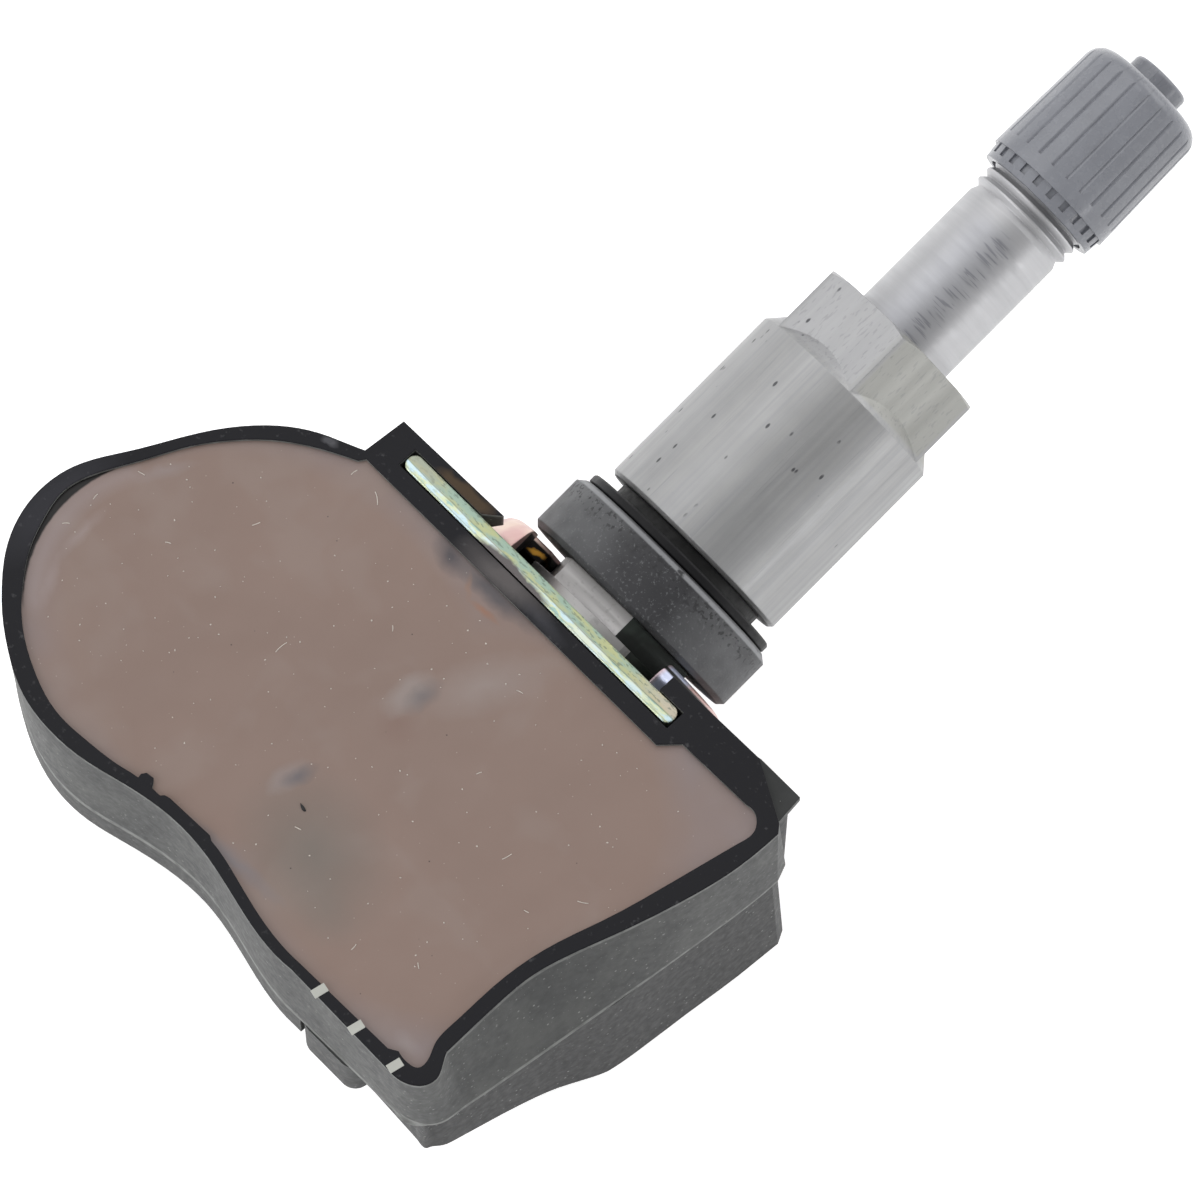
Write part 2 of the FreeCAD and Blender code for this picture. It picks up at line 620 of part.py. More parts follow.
def cap():
    """Return the ribbed plastic cap with its notched rim and round end boss."""
    seal_end = STEM_END_S + FACE_GAP + CAP_SEAL_THICK
    bore_r = CAP_THREAD_R + LOOSE_FIT
    outer = turned_profile([
        (CAP_START_S, bore_r), (CAP_START_S, CAP_RIM_R), (CAP_STEP_S, CAP_RIM_R + CAP_RIM_FLARE),
        (CAP_STEP_S, CAP_R), (CAP_END_S, CAP_FAR_R), (CAP_END_S, 0), (seal_end, 0),
        (seal_end, bore_r),
    ])
    end_y = valve_point(CAP_END_S).y
    end_edges = [edge for edge in outer.Edges
                 if len(edge.Vertexes) == 1 and abs(edge.CenterOfMass.y - end_y) < FIT]
    outer = outer.makeFillet(CAP_END_ROUND, end_edges)
    boss = rod(CAP_END_S - CAP_BOSS_LAP, CAP_BOSS_END_S, CAP_BOSS_R)
    boss = boss.makeFillet(CAP_BOSS_ROUND, [edge for edge in boss.Edges
                                            if edge.CenterOfMass.y > valve_point(CAP_END_S).y])
    solid = outer.fuse(boss)
    cutters = []
    for number in range(CAP_FLUTES):
        angle = 360.0 * number / CAP_FLUTES
        cutters.append(flute(angle))
        cutters.append(rim_notch(angle))
    return solid.cut(Part.makeCompound(cutters))


def flute(angle):
    """Return the V groove between two of the cap's ribs."""
    near = CAP_R - CAP_FLUTE_DEPTH
    far = CAP_FAR_R - CAP_FLUTE_DEPTH
    sections = []
    for s, low in ((CAP_STEP_S + CAP_FLUTE_SETBACK, near), (CAP_BOSS_END_S, far)):
        corners = [V(0, s, low), V(CAP_FLUTE_WIDTH, s, low + 2 * CAP_FLUTE_DEPTH),
                   V(-CAP_FLUTE_WIDTH, s, low + 2 * CAP_FLUTE_DEPTH)]
        sections.append(Part.makePolygon(corners + corners[:1]))
    groove = Part.makeLoft(sections, True, True)
    groove.rotate(ORIGIN, ALONG_Y, angle)
    return on_valve(groove)


def rim_notch(angle):
    """Return one of the small square notches in the cap's rim."""
    notch = Part.makeBox(CAP_NOTCH_WIDTH, CAP_NOTCH_LENGTH, OVERCUT,
                         V(-CAP_NOTCH_WIDTH / 2, CAP_STEP_S - CAP_NOTCH_LENGTH,
                           CAP_RIM_R - CAP_NOTCH_DEPTH))
    notch.rotate(ORIGIN, ALONG_Y, angle)
    return on_valve(notch)


def cap_seal():
    """Return the rubber disc in the cap that closes on the stem's end."""
    start = STEM_END_S + FACE_GAP
    return tube(start, start + CAP_SEAL_THICK, CAP_THREAD_R, CAP_SEAL_BORE_R)


def core_body():
    """Return the valve core's brass body: threaded head, barrel and sealing cone."""
    head_start = CORE_END_S - CORE_HEAD_LENGTH
    profile = [
        (CORE_BARREL_START_S, CORE_BORE_R), (CORE_BARREL_START_S, CORE_BARREL_R - CORE_NOSE),
        (CORE_BARREL_START_S + CORE_NOSE, CORE_BARREL_R), (head_start, CORE_BARREL_R),
        (head_start, CORE_HEAD_R), (CORE_END_S, CORE_HEAD_R), (CORE_END_S, CORE_BORE_R),
    ]
    solid = turned_profile(profile)
    slot = Part.makeBox(2 * FAR, CORE_SLOT_DEPTH, CORE_SLOT_WIDTH,
                        V(-FAR, CORE_END_S - CORE_SLOT_DEPTH, -CORE_SLOT_WIDTH / 2))
    return solid.cut(on_valve(slot))


def core_gasket():
    """Return the sealing sleeve round the valve core's barrel."""
    start = CORE_BARREL_START_S + GASKET_SETBACK
    return turned_profile([
        (start, CORE_BARREL_R), (start, CORE_CONE_R - GASKET_NOSE),
        (start + GASKET_CONE_LENGTH, CORE_CONE_R), (start + GASKET_LENGTH, CORE_CONE_R),
        (start + GASKET_LENGTH, CORE_BARREL_R),
    ])


def core_pin():
    """Return the valve core's pin with the collar that its spring pushes on."""
    collar_end = spring_start() + SPRING_LENGTH
    return turned_profile([
        (PIN_START_S, 0), (PIN_START_S, PIN_R), (collar_end, PIN_R), (collar_end, PIN_COLLAR_R),
        (collar_end + PIN_COLLAR_LENGTH, PIN_COLLAR_R), (collar_end + PIN_COLLAR_LENGTH, PIN_R),
        (PIN_END_S - PIN_TIP, PIN_R), (PIN_END_S, PIN_R - PIN_TIP), (PIN_END_S, 0),
    ])


def spring_start():
    """Return where the core's spring begins along the valve's axis."""
    return CORE_BARREL_START_S + SPRING_SETBACK


def core_plunger():
    """Return the cup on the pin's inner end that shuts the core."""
    end = CORE_BARREL_START_S - PLUNGER_SEAL
    return tube(end - PLUNGER_LENGTH, end, PLUNGER_R, PIN_R)


def core_seal():
    """Return the rubber ring in the plunger that closes on the core's barrel."""
    end = CORE_BARREL_START_S
    return tube(end - PLUNGER_SEAL, end - FACE_GAP, PLUNGER_R - PLUNGER_SEAL_DRAW, PIN_R)


def core_spring():
    """Return the spring round the pin."""
    middle_r = SPRING_R - SPRING_WIRE_R
    pitch = (SPRING_LENGTH - 2 * SPRING_WIRE_R) / SPRING_TURNS
    helix = Part.makeHelix(pitch, pitch * SPRING_TURNS, middle_r)
    section = Part.Wire(Part.makeCircle(SPRING_WIRE_R, V(middle_r, 0, 0), ALONG_Y))
    coil = Part.Wire(helix.Edges).makePipeShell([section], True, True)
    coil.rotate(ORIGIN, ALONG_X, -90)
    coil.translate(V(0, spring_start() + SPRING_WIRE_R, 0))
    return on_valve(coil)


def cell(grow):
    """Return the coin cell, larger all round by grow."""
    return Part.makeCylinder(CELL_R + grow, CELL_THICK + 2 * grow, V(CELL_X, CELL_Y, CELL_Z - grow))


def grown_box(low_x, low_y, low_z, size, grow):
    """Return a box from its low corner and size, larger all round by grow."""
    return Part.makeBox(size[0] + 2 * grow, size[1] + 2 * grow, size[2] + 2 * grow,
                        V(low_x - grow, low_y - grow, low_z - grow))


def tab_positive(grow):
    """Return the tab on the cell's upper face, with its leg to the board."""
    low_z = CELL_Z + CELL_THICK
    strap = grown_box(CELL_X - TAB_REACH, CELL_Y - TAB_WIDTH / 2, low_z,
                      (2 * TAB_REACH, TAB_WIDTH, TAB_THICK), grow)
    leg = grown_box(CELL_X + TAB_REACH - TAB_THICK, CELL_Y - TAB_WIDTH / 2, low_z,
                    (TAB_THICK, TAB_WIDTH, BOARD_Z - low_z), grow)
    return strap.fuse(leg).removeSplitter()


def tab_negative(grow):
    """Return the tab under the cell, with its leg beside the cell up to the board."""
    low_z = CELL_Z - TAB_THICK
    leg_x = CELL_X + CELL_R + TAB_LEG_GAP
    strap = grown_box(CELL_X + TAB_REACH, CELL_Y - TAB_WIDTH / 2, low_z,
                      (leg_x - CELL_X - TAB_REACH + TAB_THICK, TAB_WIDTH, TAB_THICK), grow)
    leg = grown_box(leg_x, CELL_Y - TAB_WIDTH / 2, low_z,
                    (TAB_THICK, TAB_WIDTH, BOARD_Z - low_z), grow)
    return strap.fuse(leg).removeSplitter()


def board(grow):
    """Return the circuit board, cut to the well's outline."""
    return well_layer(BOARD_INSET - grow, BOARD_Z - grow, BOARD_Z + BOARD_THICK + grow)


def chip(grow):
    """Return the sensing chip under the board."""
    return grown_box(CHIP_X - CHIP_SIZE / 2, CHIP_Y - CHIP_SIZE / 2, BOARD_Z - CHIP_THICK,
                     (CHIP_SIZE, CHIP_SIZE, CHIP_THICK), grow)


def port_seal(grow):
    """Return the rubber ring that leads the port's air to the chip."""
    low = WELL_FLOOR_Z
    high = BOARD_Z - CHIP_THICK
    outer = Part.makeCylinder(PORT_SEAL_R + grow, high - low, V(CHIP_X, CHIP_Y, low))
    return outer if grow else outer.cut(port(low, high))


def coil_core(grow):
    """Return the ferrite bar of the wake-up coil."""
    return grown_box(COIL_X - COIL_LENGTH / 2, COIL_Y - COIL_SIDE / 2, BOARD_Z + BOARD_THICK + COIL_WIRE,
                     (COIL_LENGTH, COIL_SIDE, COIL_SIDE), grow)


def coil_winding(grow):
    """Return the copper winding round the ferrite bar."""
    length = COIL_LENGTH * COIL_SHARE
    side = COIL_SIDE + 2 * COIL_WIRE
    outer = grown_box(COIL_X - length / 2, COIL_Y - side / 2, BOARD_Z + BOARD_THICK,
                      (length, side, side), grow)
    rounded = outer.makeFillet(COIL_ROUND, [edge for edge in outer.Edges
                                            if edge.BoundBox.XLength > COIL_ROUND])
    return rounded if grow else rounded.cut(coil_core(0))


def crystal(grow):
    """Return the clock crystal's flat can."""
    return grown_box(CRYSTAL_X - CRYSTAL_LENGTH / 2, CRYSTAL_Y - CRYSTAL_WIDTH / 2,
                     BOARD_Z + BOARD_THICK, (CRYSTAL_LENGTH, CRYSTAL_WIDTH, CRYSTAL_THICK), grow)


def antenna(grow):
    """Return the bent wire aerial that stands on the board."""
    radius = ANTENNA_WIRE_R + grow
    foot_z = BOARD_Z + BOARD_THICK
    top_z = foot_z + ANTENNA_RISE
    left_x = ANTENNA_X - ANTENNA_SPAN / 2
    bar = Part.makeCylinder(radius, ANTENNA_SPAN, V(left_x, ANTENNA_Y, top_z), ALONG_X)
    legs = []
    for x in (left_x, left_x + ANTENNA_SPAN):
        legs.append(Part.makeCylinder(radius, ANTENNA_RISE, V(x, ANTENNA_Y, foot_z)))
        legs.append(Part.makeSphere(radius, V(x, ANTENNA_Y, top_z)))
    return bar.fuse(legs).removeSplitter()


def capacitors(grow):
    """Return the row of chip capacitors on the board."""
    solids = []
    for number in range(CAPACITOR_COUNT):
        low_y = CAPACITOR_Y + number * CAPACITOR_PITCH
        solids.append(grown_box(CAPACITOR_X, low_y, BOARD_Z + BOARD_THICK,
                                (CAPACITOR_LENGTH, CAPACITOR_WIDTH, CAPACITOR_WIDTH), grow))
    return Part.makeCompound(solids)


def potting():
    """Return the potting compound that fills the housing round the electronics."""
    fill = tray_cavity().fuse(well())
    fill = fill.cut(above(TOP_Z - POTTING_DROP))
    buried = [cell(POT_GAP), tab_positive(POT_GAP), tab_negative(POT_GAP), board(POT_GAP),
              chip(POT_GAP), port_seal(POT_GAP), coil_core(POT_GAP), coil_winding(POT_GAP),
              crystal(POT_GAP), antenna(POT_GAP), capacitors(POT_GAP)]
    for piece in buried:
        fill = fill.cut(piece)
    return fill


NODES = {
    "housing": housing,
    "potting": potting,
    "bracket": bracket,
    "stem": stem,
    "rubber_seat": seat,
    "seat_ring": seat_ring,
    "collar_nut": nut,
    "valve_cap": cap,
    "cap_seal": cap_seal,
    "core_body": core_body,
    "core_gasket": core_gasket,
    "core_pin": core_pin,
    "core_plunger": core_plunger,
    "core_seal": core_seal,
    "core_spring": core_spring,
    "coin_cell": lambda: cell(0),
    "cell_tab_positive": lambda: tab_positive(0),
    "cell_tab_negative": lambda: tab_negative(0),
    "circuit_board": lambda: board(0),
    "sensing_chip": lambda: chip(0),
    "port_seal": lambda: port_seal(0),
    "coil_core": lambda: coil_core(0),
    "coil_winding": lambda: coil_winding(0),
    "clock_crystal": lambda: crystal(0),
    "antenna_wire": lambda: antenna(0),
    "chip_capacitors": lambda: capacitors(0),
}

os.makedirs("parts", exist_ok=True)
for name, build in NODES.items():
    shape = build()
    box = shape.BoundBox
    print(name, shape.isValid(), len(shape.Solids), round(shape.Volume, 2),
          [round(v, 2) for v in (box.XMin, box.YMin, box.ZMin, box.XMax, box.YMax, box.ZMax)])
    shape.exportStep("parts/" + name + ".step")
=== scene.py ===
"""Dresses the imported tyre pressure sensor: camera, lights, materials and fine surface pieces.

Lengths in this file are millimetres unless a name says otherwise; `MM` turns them into metres.
"""

from __future__ import annotations

import json
import logging
import math
import random
from dataclasses import dataclass, field
from enum import Enum
from typing import Callable, Sequence

import bmesh
import bpy
from mathutils import Matrix, Vector

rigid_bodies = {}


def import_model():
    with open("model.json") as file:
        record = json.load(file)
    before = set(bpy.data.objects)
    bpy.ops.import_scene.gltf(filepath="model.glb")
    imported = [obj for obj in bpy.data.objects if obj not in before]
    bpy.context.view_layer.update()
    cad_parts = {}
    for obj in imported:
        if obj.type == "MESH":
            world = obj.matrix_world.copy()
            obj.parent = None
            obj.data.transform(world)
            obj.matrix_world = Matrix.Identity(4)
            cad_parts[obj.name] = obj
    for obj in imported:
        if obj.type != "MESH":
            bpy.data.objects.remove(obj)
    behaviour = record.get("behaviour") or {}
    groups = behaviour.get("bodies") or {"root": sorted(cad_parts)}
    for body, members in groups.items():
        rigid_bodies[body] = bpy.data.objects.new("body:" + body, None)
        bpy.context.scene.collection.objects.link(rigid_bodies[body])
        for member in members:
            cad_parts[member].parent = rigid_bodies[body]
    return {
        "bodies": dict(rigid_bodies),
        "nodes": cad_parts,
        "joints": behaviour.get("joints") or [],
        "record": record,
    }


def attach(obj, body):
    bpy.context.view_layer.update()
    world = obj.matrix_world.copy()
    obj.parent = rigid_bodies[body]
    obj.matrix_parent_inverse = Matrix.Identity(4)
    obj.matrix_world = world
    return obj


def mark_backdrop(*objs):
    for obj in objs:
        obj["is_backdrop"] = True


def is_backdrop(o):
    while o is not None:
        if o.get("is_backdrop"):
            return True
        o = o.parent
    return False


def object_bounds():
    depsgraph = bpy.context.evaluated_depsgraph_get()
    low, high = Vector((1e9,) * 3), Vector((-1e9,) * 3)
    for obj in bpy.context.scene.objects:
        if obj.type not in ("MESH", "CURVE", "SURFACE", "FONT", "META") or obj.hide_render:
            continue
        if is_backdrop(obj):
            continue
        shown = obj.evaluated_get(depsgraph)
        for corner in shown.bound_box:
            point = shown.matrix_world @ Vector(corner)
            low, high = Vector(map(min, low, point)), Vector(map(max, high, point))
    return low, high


LOG = logging.getLogger("sensor")
MM = 0.001
VALVE_RISE = math.radians(11.0)
ALL_HEIGHTS = 10000.0
TOP_Z = 7.65
LEDGE_Z = -1.95
END_LEDGE_Z = -1.3
END_WALL_X = 13.5
CRESCENT_MIDDLE = (-18.6, -25.78)
CRESCENT_R = 9.42
CRESCENT_Y = (-32.6, -21.6)
CAP_FLUTES = 24

Colour = tuple[float, float, float]
Socket = bpy.types.NodeSocket


def srgb(red: int, green: int, blue: int) -> Colour:
    """Turn a display colour into linear light.

    Args:
        red: Red, 0 to 255.
        green: Green, 0 to 255.
        blue: Blue, 0 to 255.

    Returns:
        The linear colour.
    """
    def linear(value: int) -> float:
        part = value / 255
        return part / 12.92 if part <= 0.04045 else ((part + 0.055) / 1.055) ** 2.4

    return linear(red), linear(green), linear(blue)


class Grain(Enum):
    """How a material's pattern lies on its piece."""

    PLAIN = "plain"
    ALONG_VALVE = "along_valve"
    ROUND_VALVE = "round_valve"
    ALONG_BRACKET = "along_bracket"
    STREAKS = "streaks"
    DASHES = "dashes"
    PITS = "pits"


GRAIN_STRETCH: dict[Grain, Colour] = {
    Grain.PLAIN: (1.0, 1.0, 1.0),
    Grain.ALONG_VALVE: (1.0, 0.02, 1.0),
    Grain.ROUND_VALVE: (0.05, 1.0, 0.05),
    Grain.ALONG_BRACKET: (0.04, 1.0, 1.0),
    Grain.STREAKS: (0.3, 1.0, 1.0),
    Grain.DASHES: (1.0, 0.22, 1.0),
    Grain.PITS: (1.0, 0.45, 1.0),
}


@dataclass(frozen=True)
class Spot:
    """A soft oval patch, in millimetres and degrees."""

    x: float
    y: float
    length: float
    width: float
    turn: float = 0.0
    share: float = 1.0
    soft: float = 0.8


class Graph:
    """A material's node tree with a Principled shader and short calls to add to it."""

    def __init__(self, name: str) -> None:
        """Start an empty material.

        Args:
            name: Material name.
        """
        self.material = bpy.data.materials.new(name)
        self.material.use_nodes = True
        self.tree = self.material.node_tree
        self.tree.nodes.clear()
        self.shader = self.tree.nodes.new("ShaderNodeBsdfPrincipled")
        output = self.tree.nodes.new("ShaderNodeOutputMaterial")
        self.tree.links.new(self.shader.outputs["BSDF"], output.inputs["Surface"])

    def feed(self, socket: Socket, value: object) -> None:
        """Link a socket, or set its value, on an input.

        Args:
            socket: The input.
            value: An output socket, a number or a colour.
        """
        if isinstance(value, bpy.types.NodeSocket):
            self.tree.links.new(value, socket)
        elif socket.type == "RGBA":
            socket.default_value = (*value, 1.0)
        else:
            socket.default_value = value

    def place(self, grain: Grain, turned: bool = False) -> Socket:
        """Return object coordinates in millimetres, stretched for a grain.

        Args:
            grain: The way that the pattern runs.
            turned: Whether to lay the Y axis along the valve.

        Returns:
            The coordinates.
        """
        coordinates = self.tree.nodes.new("ShaderNodeTexCoord")
        mapping = self.tree.nodes.new("ShaderNodeMapping")
        self.tree.links.new(coordinates.outputs["Object"], mapping.inputs["Vector"])
        lies_on_valve = turned or grain not in (Grain.PLAIN, Grain.ALONG_BRACKET, Grain.STREAKS)
        if lies_on_valve:
            mapping.inputs["Rotation"].default_value = (-VALVE_RISE, 0, 0)
        stretch = self.tree.nodes.new("ShaderNodeVectorMath")
        stretch.operation = "MULTIPLY"
        self.tree.links.new(mapping.outputs["Vector"], stretch.inputs[0])
        stretch.inputs[1].default_value = [1 / MM * part for part in GRAIN_STRETCH[grain]]
        return stretch.outputs["Vector"]

    def noise(self, where: Socket, scale: float, detail: float = 3.0, rough: float = 0.55) -> Socket:
        """Return a noise value.

        Args:
            where: Coordinates in millimetres.
            scale: Features per millimetre.
            detail: Octaves.
            rough: Weight of the finer octaves.

        Returns:
            The value, about 0 to 1.
        """
        node = self.tree.nodes.new("ShaderNodeTexNoise")
        self.tree.links.new(where, node.inputs["Vector"])
        node.inputs["Scale"].default_value = scale
        node.inputs["Detail"].default_value = detail
        node.inputs["Roughness"].default_value = rough
        return node.outputs["Fac"]

    def cells(self, where: Socket, scale: float, spread: float = 1.0) -> Socket:
        """Return the distance to the nearest point of a scattered field.

        Args:
            where: Coordinates in millimetres.
            scale: Cells per millimetre.
            spread: How far the points stray from a grid.

        Returns:
            The distance.
        """
        node = self.tree.nodes.new("ShaderNodeTexVoronoi")
        self.tree.links.new(where, node.inputs["Vector"])
        node.inputs["Scale"].default_value = scale
        node.inputs["Randomness"].default_value = spread
        return node.outputs["Distance"]

    def ramp(self, value: Socket, low: float, high: float, first: float = 0.0, last: float = 1.0) -> Socket:
        """Map a value between two limits on to a new range, held outside them.

        Args:
            value: The value to map.
            low: Where the new range starts.
            high: Where the new range ends.
            first: Result at low.
            last: Result at high.

        Returns:
            The mapped value.
        """
        node = self.tree.nodes.new("ShaderNodeMapRange")
        self.tree.links.new(value, node.inputs["Value"])
        for name, number in (("From Min", low), ("From Max", high), ("To Min", first), ("To Max", last)):
            node.inputs[name].default_value = number
        return node.outputs["Result"]

    def math(self, operation: str, first: object, second: object) -> Socket:
        """Return the result of a sum on two values.

        Args:
            operation: Blender's name for it, such as MULTIPLY.
            first: Left value.
            second: Right value.

        Returns:
            The result.
        """
        node = self.tree.nodes.new("ShaderNodeMath")
        node.operation = operation
        self.feed(node.inputs[0], first)
        self.feed(node.inputs[1], second)
        return node.outputs["Value"]

    def mix(self, share: object, first: object, second: object) -> Socket:
        """Return a blend of two colours.

        Args:
            share: Share of the second colour.
            first: First colour.
            second: Second colour.

        Returns:
            The blended colour.
        """
        node = self.tree.nodes.new("ShaderNodeMix")
        node.data_type = "RGBA"
        self.feed(node.inputs["Factor"], share)
        self.feed(node.inputs[6], first)
        self.feed(node.inputs[7], second)
        return node.outputs[2]

    def axis(self, where: Socket, name: str) -> Socket:
        """Return one coordinate.

        Args:
            where: The coordinates.
            name: X, Y or Z.

        Returns:
            That coordinate.
        """
        node = self.tree.nodes.new("ShaderNodeSeparateXYZ")
        self.tree.links.new(where, node.inputs["Vector"])
        return node.outputs[name]

    def vector(self, operation: str, first: object, second: object) -> bpy.types.Node:
        """Add a sum on two vectors.

        Args:
            operation: Blender's name for it, such as MULTIPLY.
            first: Left vector.
            second: Right vector, or None.

        Returns:
            The node.
        """
        node = self.tree.nodes.new("ShaderNodeVectorMath")
        node.operation = operation
        self.feed(node.inputs[0], first)
        if second is not None:
            self.feed(node.inputs[1], second)
        return node

    def warp(self, where: Socket, scale: float, amount: float) -> Socket:
        """Return coordinates pushed about by noise, for ragged outlines.

        Args:
            where: Coordinates in millimetres.
            scale: Features per millimetre.
            amount: Largest push in millimetres.

        Returns:
            The pushed coordinates.
        """
        node = self.tree.nodes.new("ShaderNodeTexNoise")
        self.tree.links.new(where, node.inputs["Vector"])
        node.inputs["Scale"].default_value = scale
        node.inputs["Detail"].default_value = 3.0
        middle = self.vector("SUBTRACT", node.outputs["Color"], (0.5, 0.5, 0.5))
        push = self.vector("MULTIPLY", middle.outputs["Vector"], (2 * amount, 2 * amount, 2 * amount))
        return self.vector("ADD", where, push.outputs["Vector"]).outputs["Vector"]

    def patch(self, where: Socket, spot: Spot) -> Socket:
        """Return a soft oval patch, the same at every height.

        Args:
            where: Coordinates in millimetres.
            spot: The patch's place, size and turn.

        Returns:
            The spot's share in the middle, 0 outside.
        """
        fit = self.tree.nodes.new("ShaderNodeMapping")
        fit.vector_type = "TEXTURE"
        self.tree.links.new(where, fit.inputs["Vector"])
        fit.inputs["Location"].default_value = (spot.x, spot.y, 0)
        fit.inputs["Rotation"].default_value = (0, 0, math.radians(spot.turn))
        fit.inputs["Scale"].default_value = (spot.length / 2, spot.width / 2, ALL_HEIGHTS)
        away = self.vector("LENGTH", fit.outputs["Vector"], None)
        return self.ramp(away.outputs["Value"], 1.0 - spot.soft, 1.0, spot.share, 0.0)

    def band(self, value: Socket, low: float, high: float, soft: float) -> Socket:
        """Return 1 where a value lies between two limits, and 0 outside them.

        Args:
            value: The value.
            low: Lower limit.
            high: Upper limit.
            soft: Width of each limit's blend.

        Returns:
            The mask.
        """
        rise = self.ramp(value, low - soft / 2, low + soft / 2)
        fall = self.ramp(value, high - soft / 2, high + soft / 2, 1.0, 0.0)
        return self.math("MULTIPLY", rise, fall)

    def facing(self, name: str) -> Socket:
        """Return how far the flat face looks along an axis, from -1 to 1.

        Args:
            name: X, Y or Z.

        Returns:
            That part of the face's direction.
        """
        geometry = self.tree.nodes.new("ShaderNodeNewGeometry")
        return self.axis(geometry.outputs["True Normal"], name)

    def edges(self, radius: float) -> Socket:
        """Return a mask of the places close to an edge.

        Args:
            radius: How far from the edge it reaches, in millimetres.

        Returns:
            1 on an edge, 0 elsewhere.
        """
        geometry = self.tree.nodes.new("ShaderNodeNewGeometry")
        bevel = self.tree.nodes.new("ShaderNodeBevel")
        bevel.samples = 6
        bevel.inputs["Radius"].default_value = radius * MM
        same = self.vector("DOT_PRODUCT", bevel.outputs["Normal"], geometry.outputs["Normal"])
        return self.ramp(same.outputs["Value"], 0.99, 0.86)

    def off_axis(self, where: Socket) -> Socket:
        """Return the distance from the valve's axis, from coordinates turned on to it."""
        flat = self.vector("MULTIPLY", where, (1, 0, 1))
        return self.vector("LENGTH", flat.outputs["Vector"], None).outputs["Value"]

    def relief(self, height: Socket, depth: float, edge: float = 0.0) -> None:
        """Set the shader's bump, over edges rounded by a small radius.

        Args:
            height: Height value, 0 to 1.
            depth: Real height of 1, in millimetres.
            edge: Edge radius in millimetres.
        """
        bump = self.tree.nodes.new("ShaderNodeBump")
        bump.inputs["Distance"].default_value = depth * MM
        self.tree.links.new(height, bump.inputs["Height"])
        if edge:
            bevel = self.tree.nodes.new("ShaderNodeBevel")
            bevel.samples = 4
            bevel.inputs["Radius"].default_value = edge * MM
            self.tree.links.new(bevel.outputs["Normal"], bump.inputs["Normal"])
        self.tree.links.new(bump.outputs["Normal"], self.shader.inputs["Normal"])

    def gloss(self, share: Socket, low: float, high: float) -> None:
        """Blend the roughness that the finish gave towards another range.

        Args:
            share: Where the new roughness holds.
            low: Roughness where the old one was 0.
            high: Roughness where the old one was 1.
        """
        socket = self.shader.inputs["Roughness"]
        old = socket.links[0].from_socket
        new = self.ramp(old, 0.0, 1.0, low, high)
        self.feed(socket, self.math("ADD", self.math("MULTIPLY", old, self.math("SUBTRACT", 1.0, share)),
                                    self.math("MULTIPLY", new, share)))


@dataclass(frozen=True)
class Finish:
    """The plain values of a material, before its pattern is added."""

    name: str
    colour: Colour
    roughness: float
    metallic: float = 0.0
    grain: Grain = Grain.PLAIN
    fleck: Colour = (0.5, 0.5, 0.5)
    fleck_scale: float = 1.0
    fleck_share: float = 0.0
    mottle: float = 0.12
    mottle_scale: float = 0.35
    relief: float = 0.01
    relief_scale: float = 3.0
    edge: float = 0.12
    specular: float = 0.5


def base_graph(finish: Finish) -> tuple[Graph, Socket, Socket]:
    """Build what every finish has: mottled colour, flecks, uneven gloss and relief.

    Args:
        finish: The finish.

    Returns:
        The graph, its colour and its coordinates.
    """
    graph = Graph(finish.name)
    where = graph.place(finish.grain)
    plain = graph.place(Grain.PLAIN)
    mottle = graph.ramp(graph.noise(plain, finish.mottle_scale), 0.3, 0.7, 0.0, 1.0)
    low = tuple(part * (1 - finish.mottle) for part in finish.colour)
    high = tuple(min(1.0, part * (1 + finish.mottle)) for part in finish.colour)
    colour = graph.mix(mottle, low, high)
    if finish.fleck_share:
        near = graph.cells(plain, finish.fleck_scale)
        fleck = graph.ramp(near, finish.fleck_share, finish.fleck_share * 0.5, 0.0, 1.0)
        colour = graph.mix(fleck, colour, finish.fleck)
    graph.feed(graph.shader.inputs["Base Color"], colour)
    graph.shader.inputs["Metallic"].default_value = finish.metallic
    graph.shader.inputs["Specular IOR Level"].default_value = finish.specular
    gloss = graph.noise(where, finish.relief_scale * 0.5)
    graph.feed(graph.shader.inputs["Roughness"],
               graph.ramp(gloss, 0.3, 0.7, finish.roughness * 0.85, finish.roughness * 1.15))
    graph.relief(graph.noise(where, finish.relief_scale), finish.relief, finish.edge)
    return graph, colour, where


HOUSING = Finish("moulded_plastic", srgb(66, 67, 67), 0.5, fleck=srgb(128, 130, 126), fleck_scale=2.6,
                 fleck_share=0.1, mottle=0.1, mottle_scale=0.7, relief=0.006, relief_scale=4.0,
                 edge=0.15, specular=0.15)
POTTING = Finish("potting_compound", srgb(139, 119, 110), 0.4, mottle=0.035, mottle_scale=0.09,
                 relief=0.004, relief_scale=0.6, edge=0.0, specular=0.3)
PLATING = Finish("bracket_plating", srgb(158, 170, 156), 0.36, 0.8, Grain.ALONG_BRACKET, mottle=0.12,
                 relief=0.008, relief_scale=2.5, edge=0.18)
TURNED = Finish("stem_metal", srgb(178, 178, 180), 0.48, 0.9, Grain.ROUND_VALVE, mottle=0.03,
                relief=0.004, relief_scale=5.0, edge=0.08)
DRAWN = Finish("nut_metal", srgb(162, 162, 162), 0.5, 0.85, Grain.ALONG_VALVE, mottle=0.04,
               relief=0.003, relief_scale=3.5, edge=0.12)
SEAT_RUBBER = Finish("seat_rubber", srgb(44, 44, 47), 0.6, fleck=srgb(116, 118, 120), fleck_scale=5.0,
                     fleck_share=0.1, mottle=0.22, mottle_scale=0.5, relief=0.02, relief_scale=4.0)
RING = Finish("ring_plastic", srgb(20, 20, 22), 0.5, mottle=0.2, relief=0.01, specular=0.2)
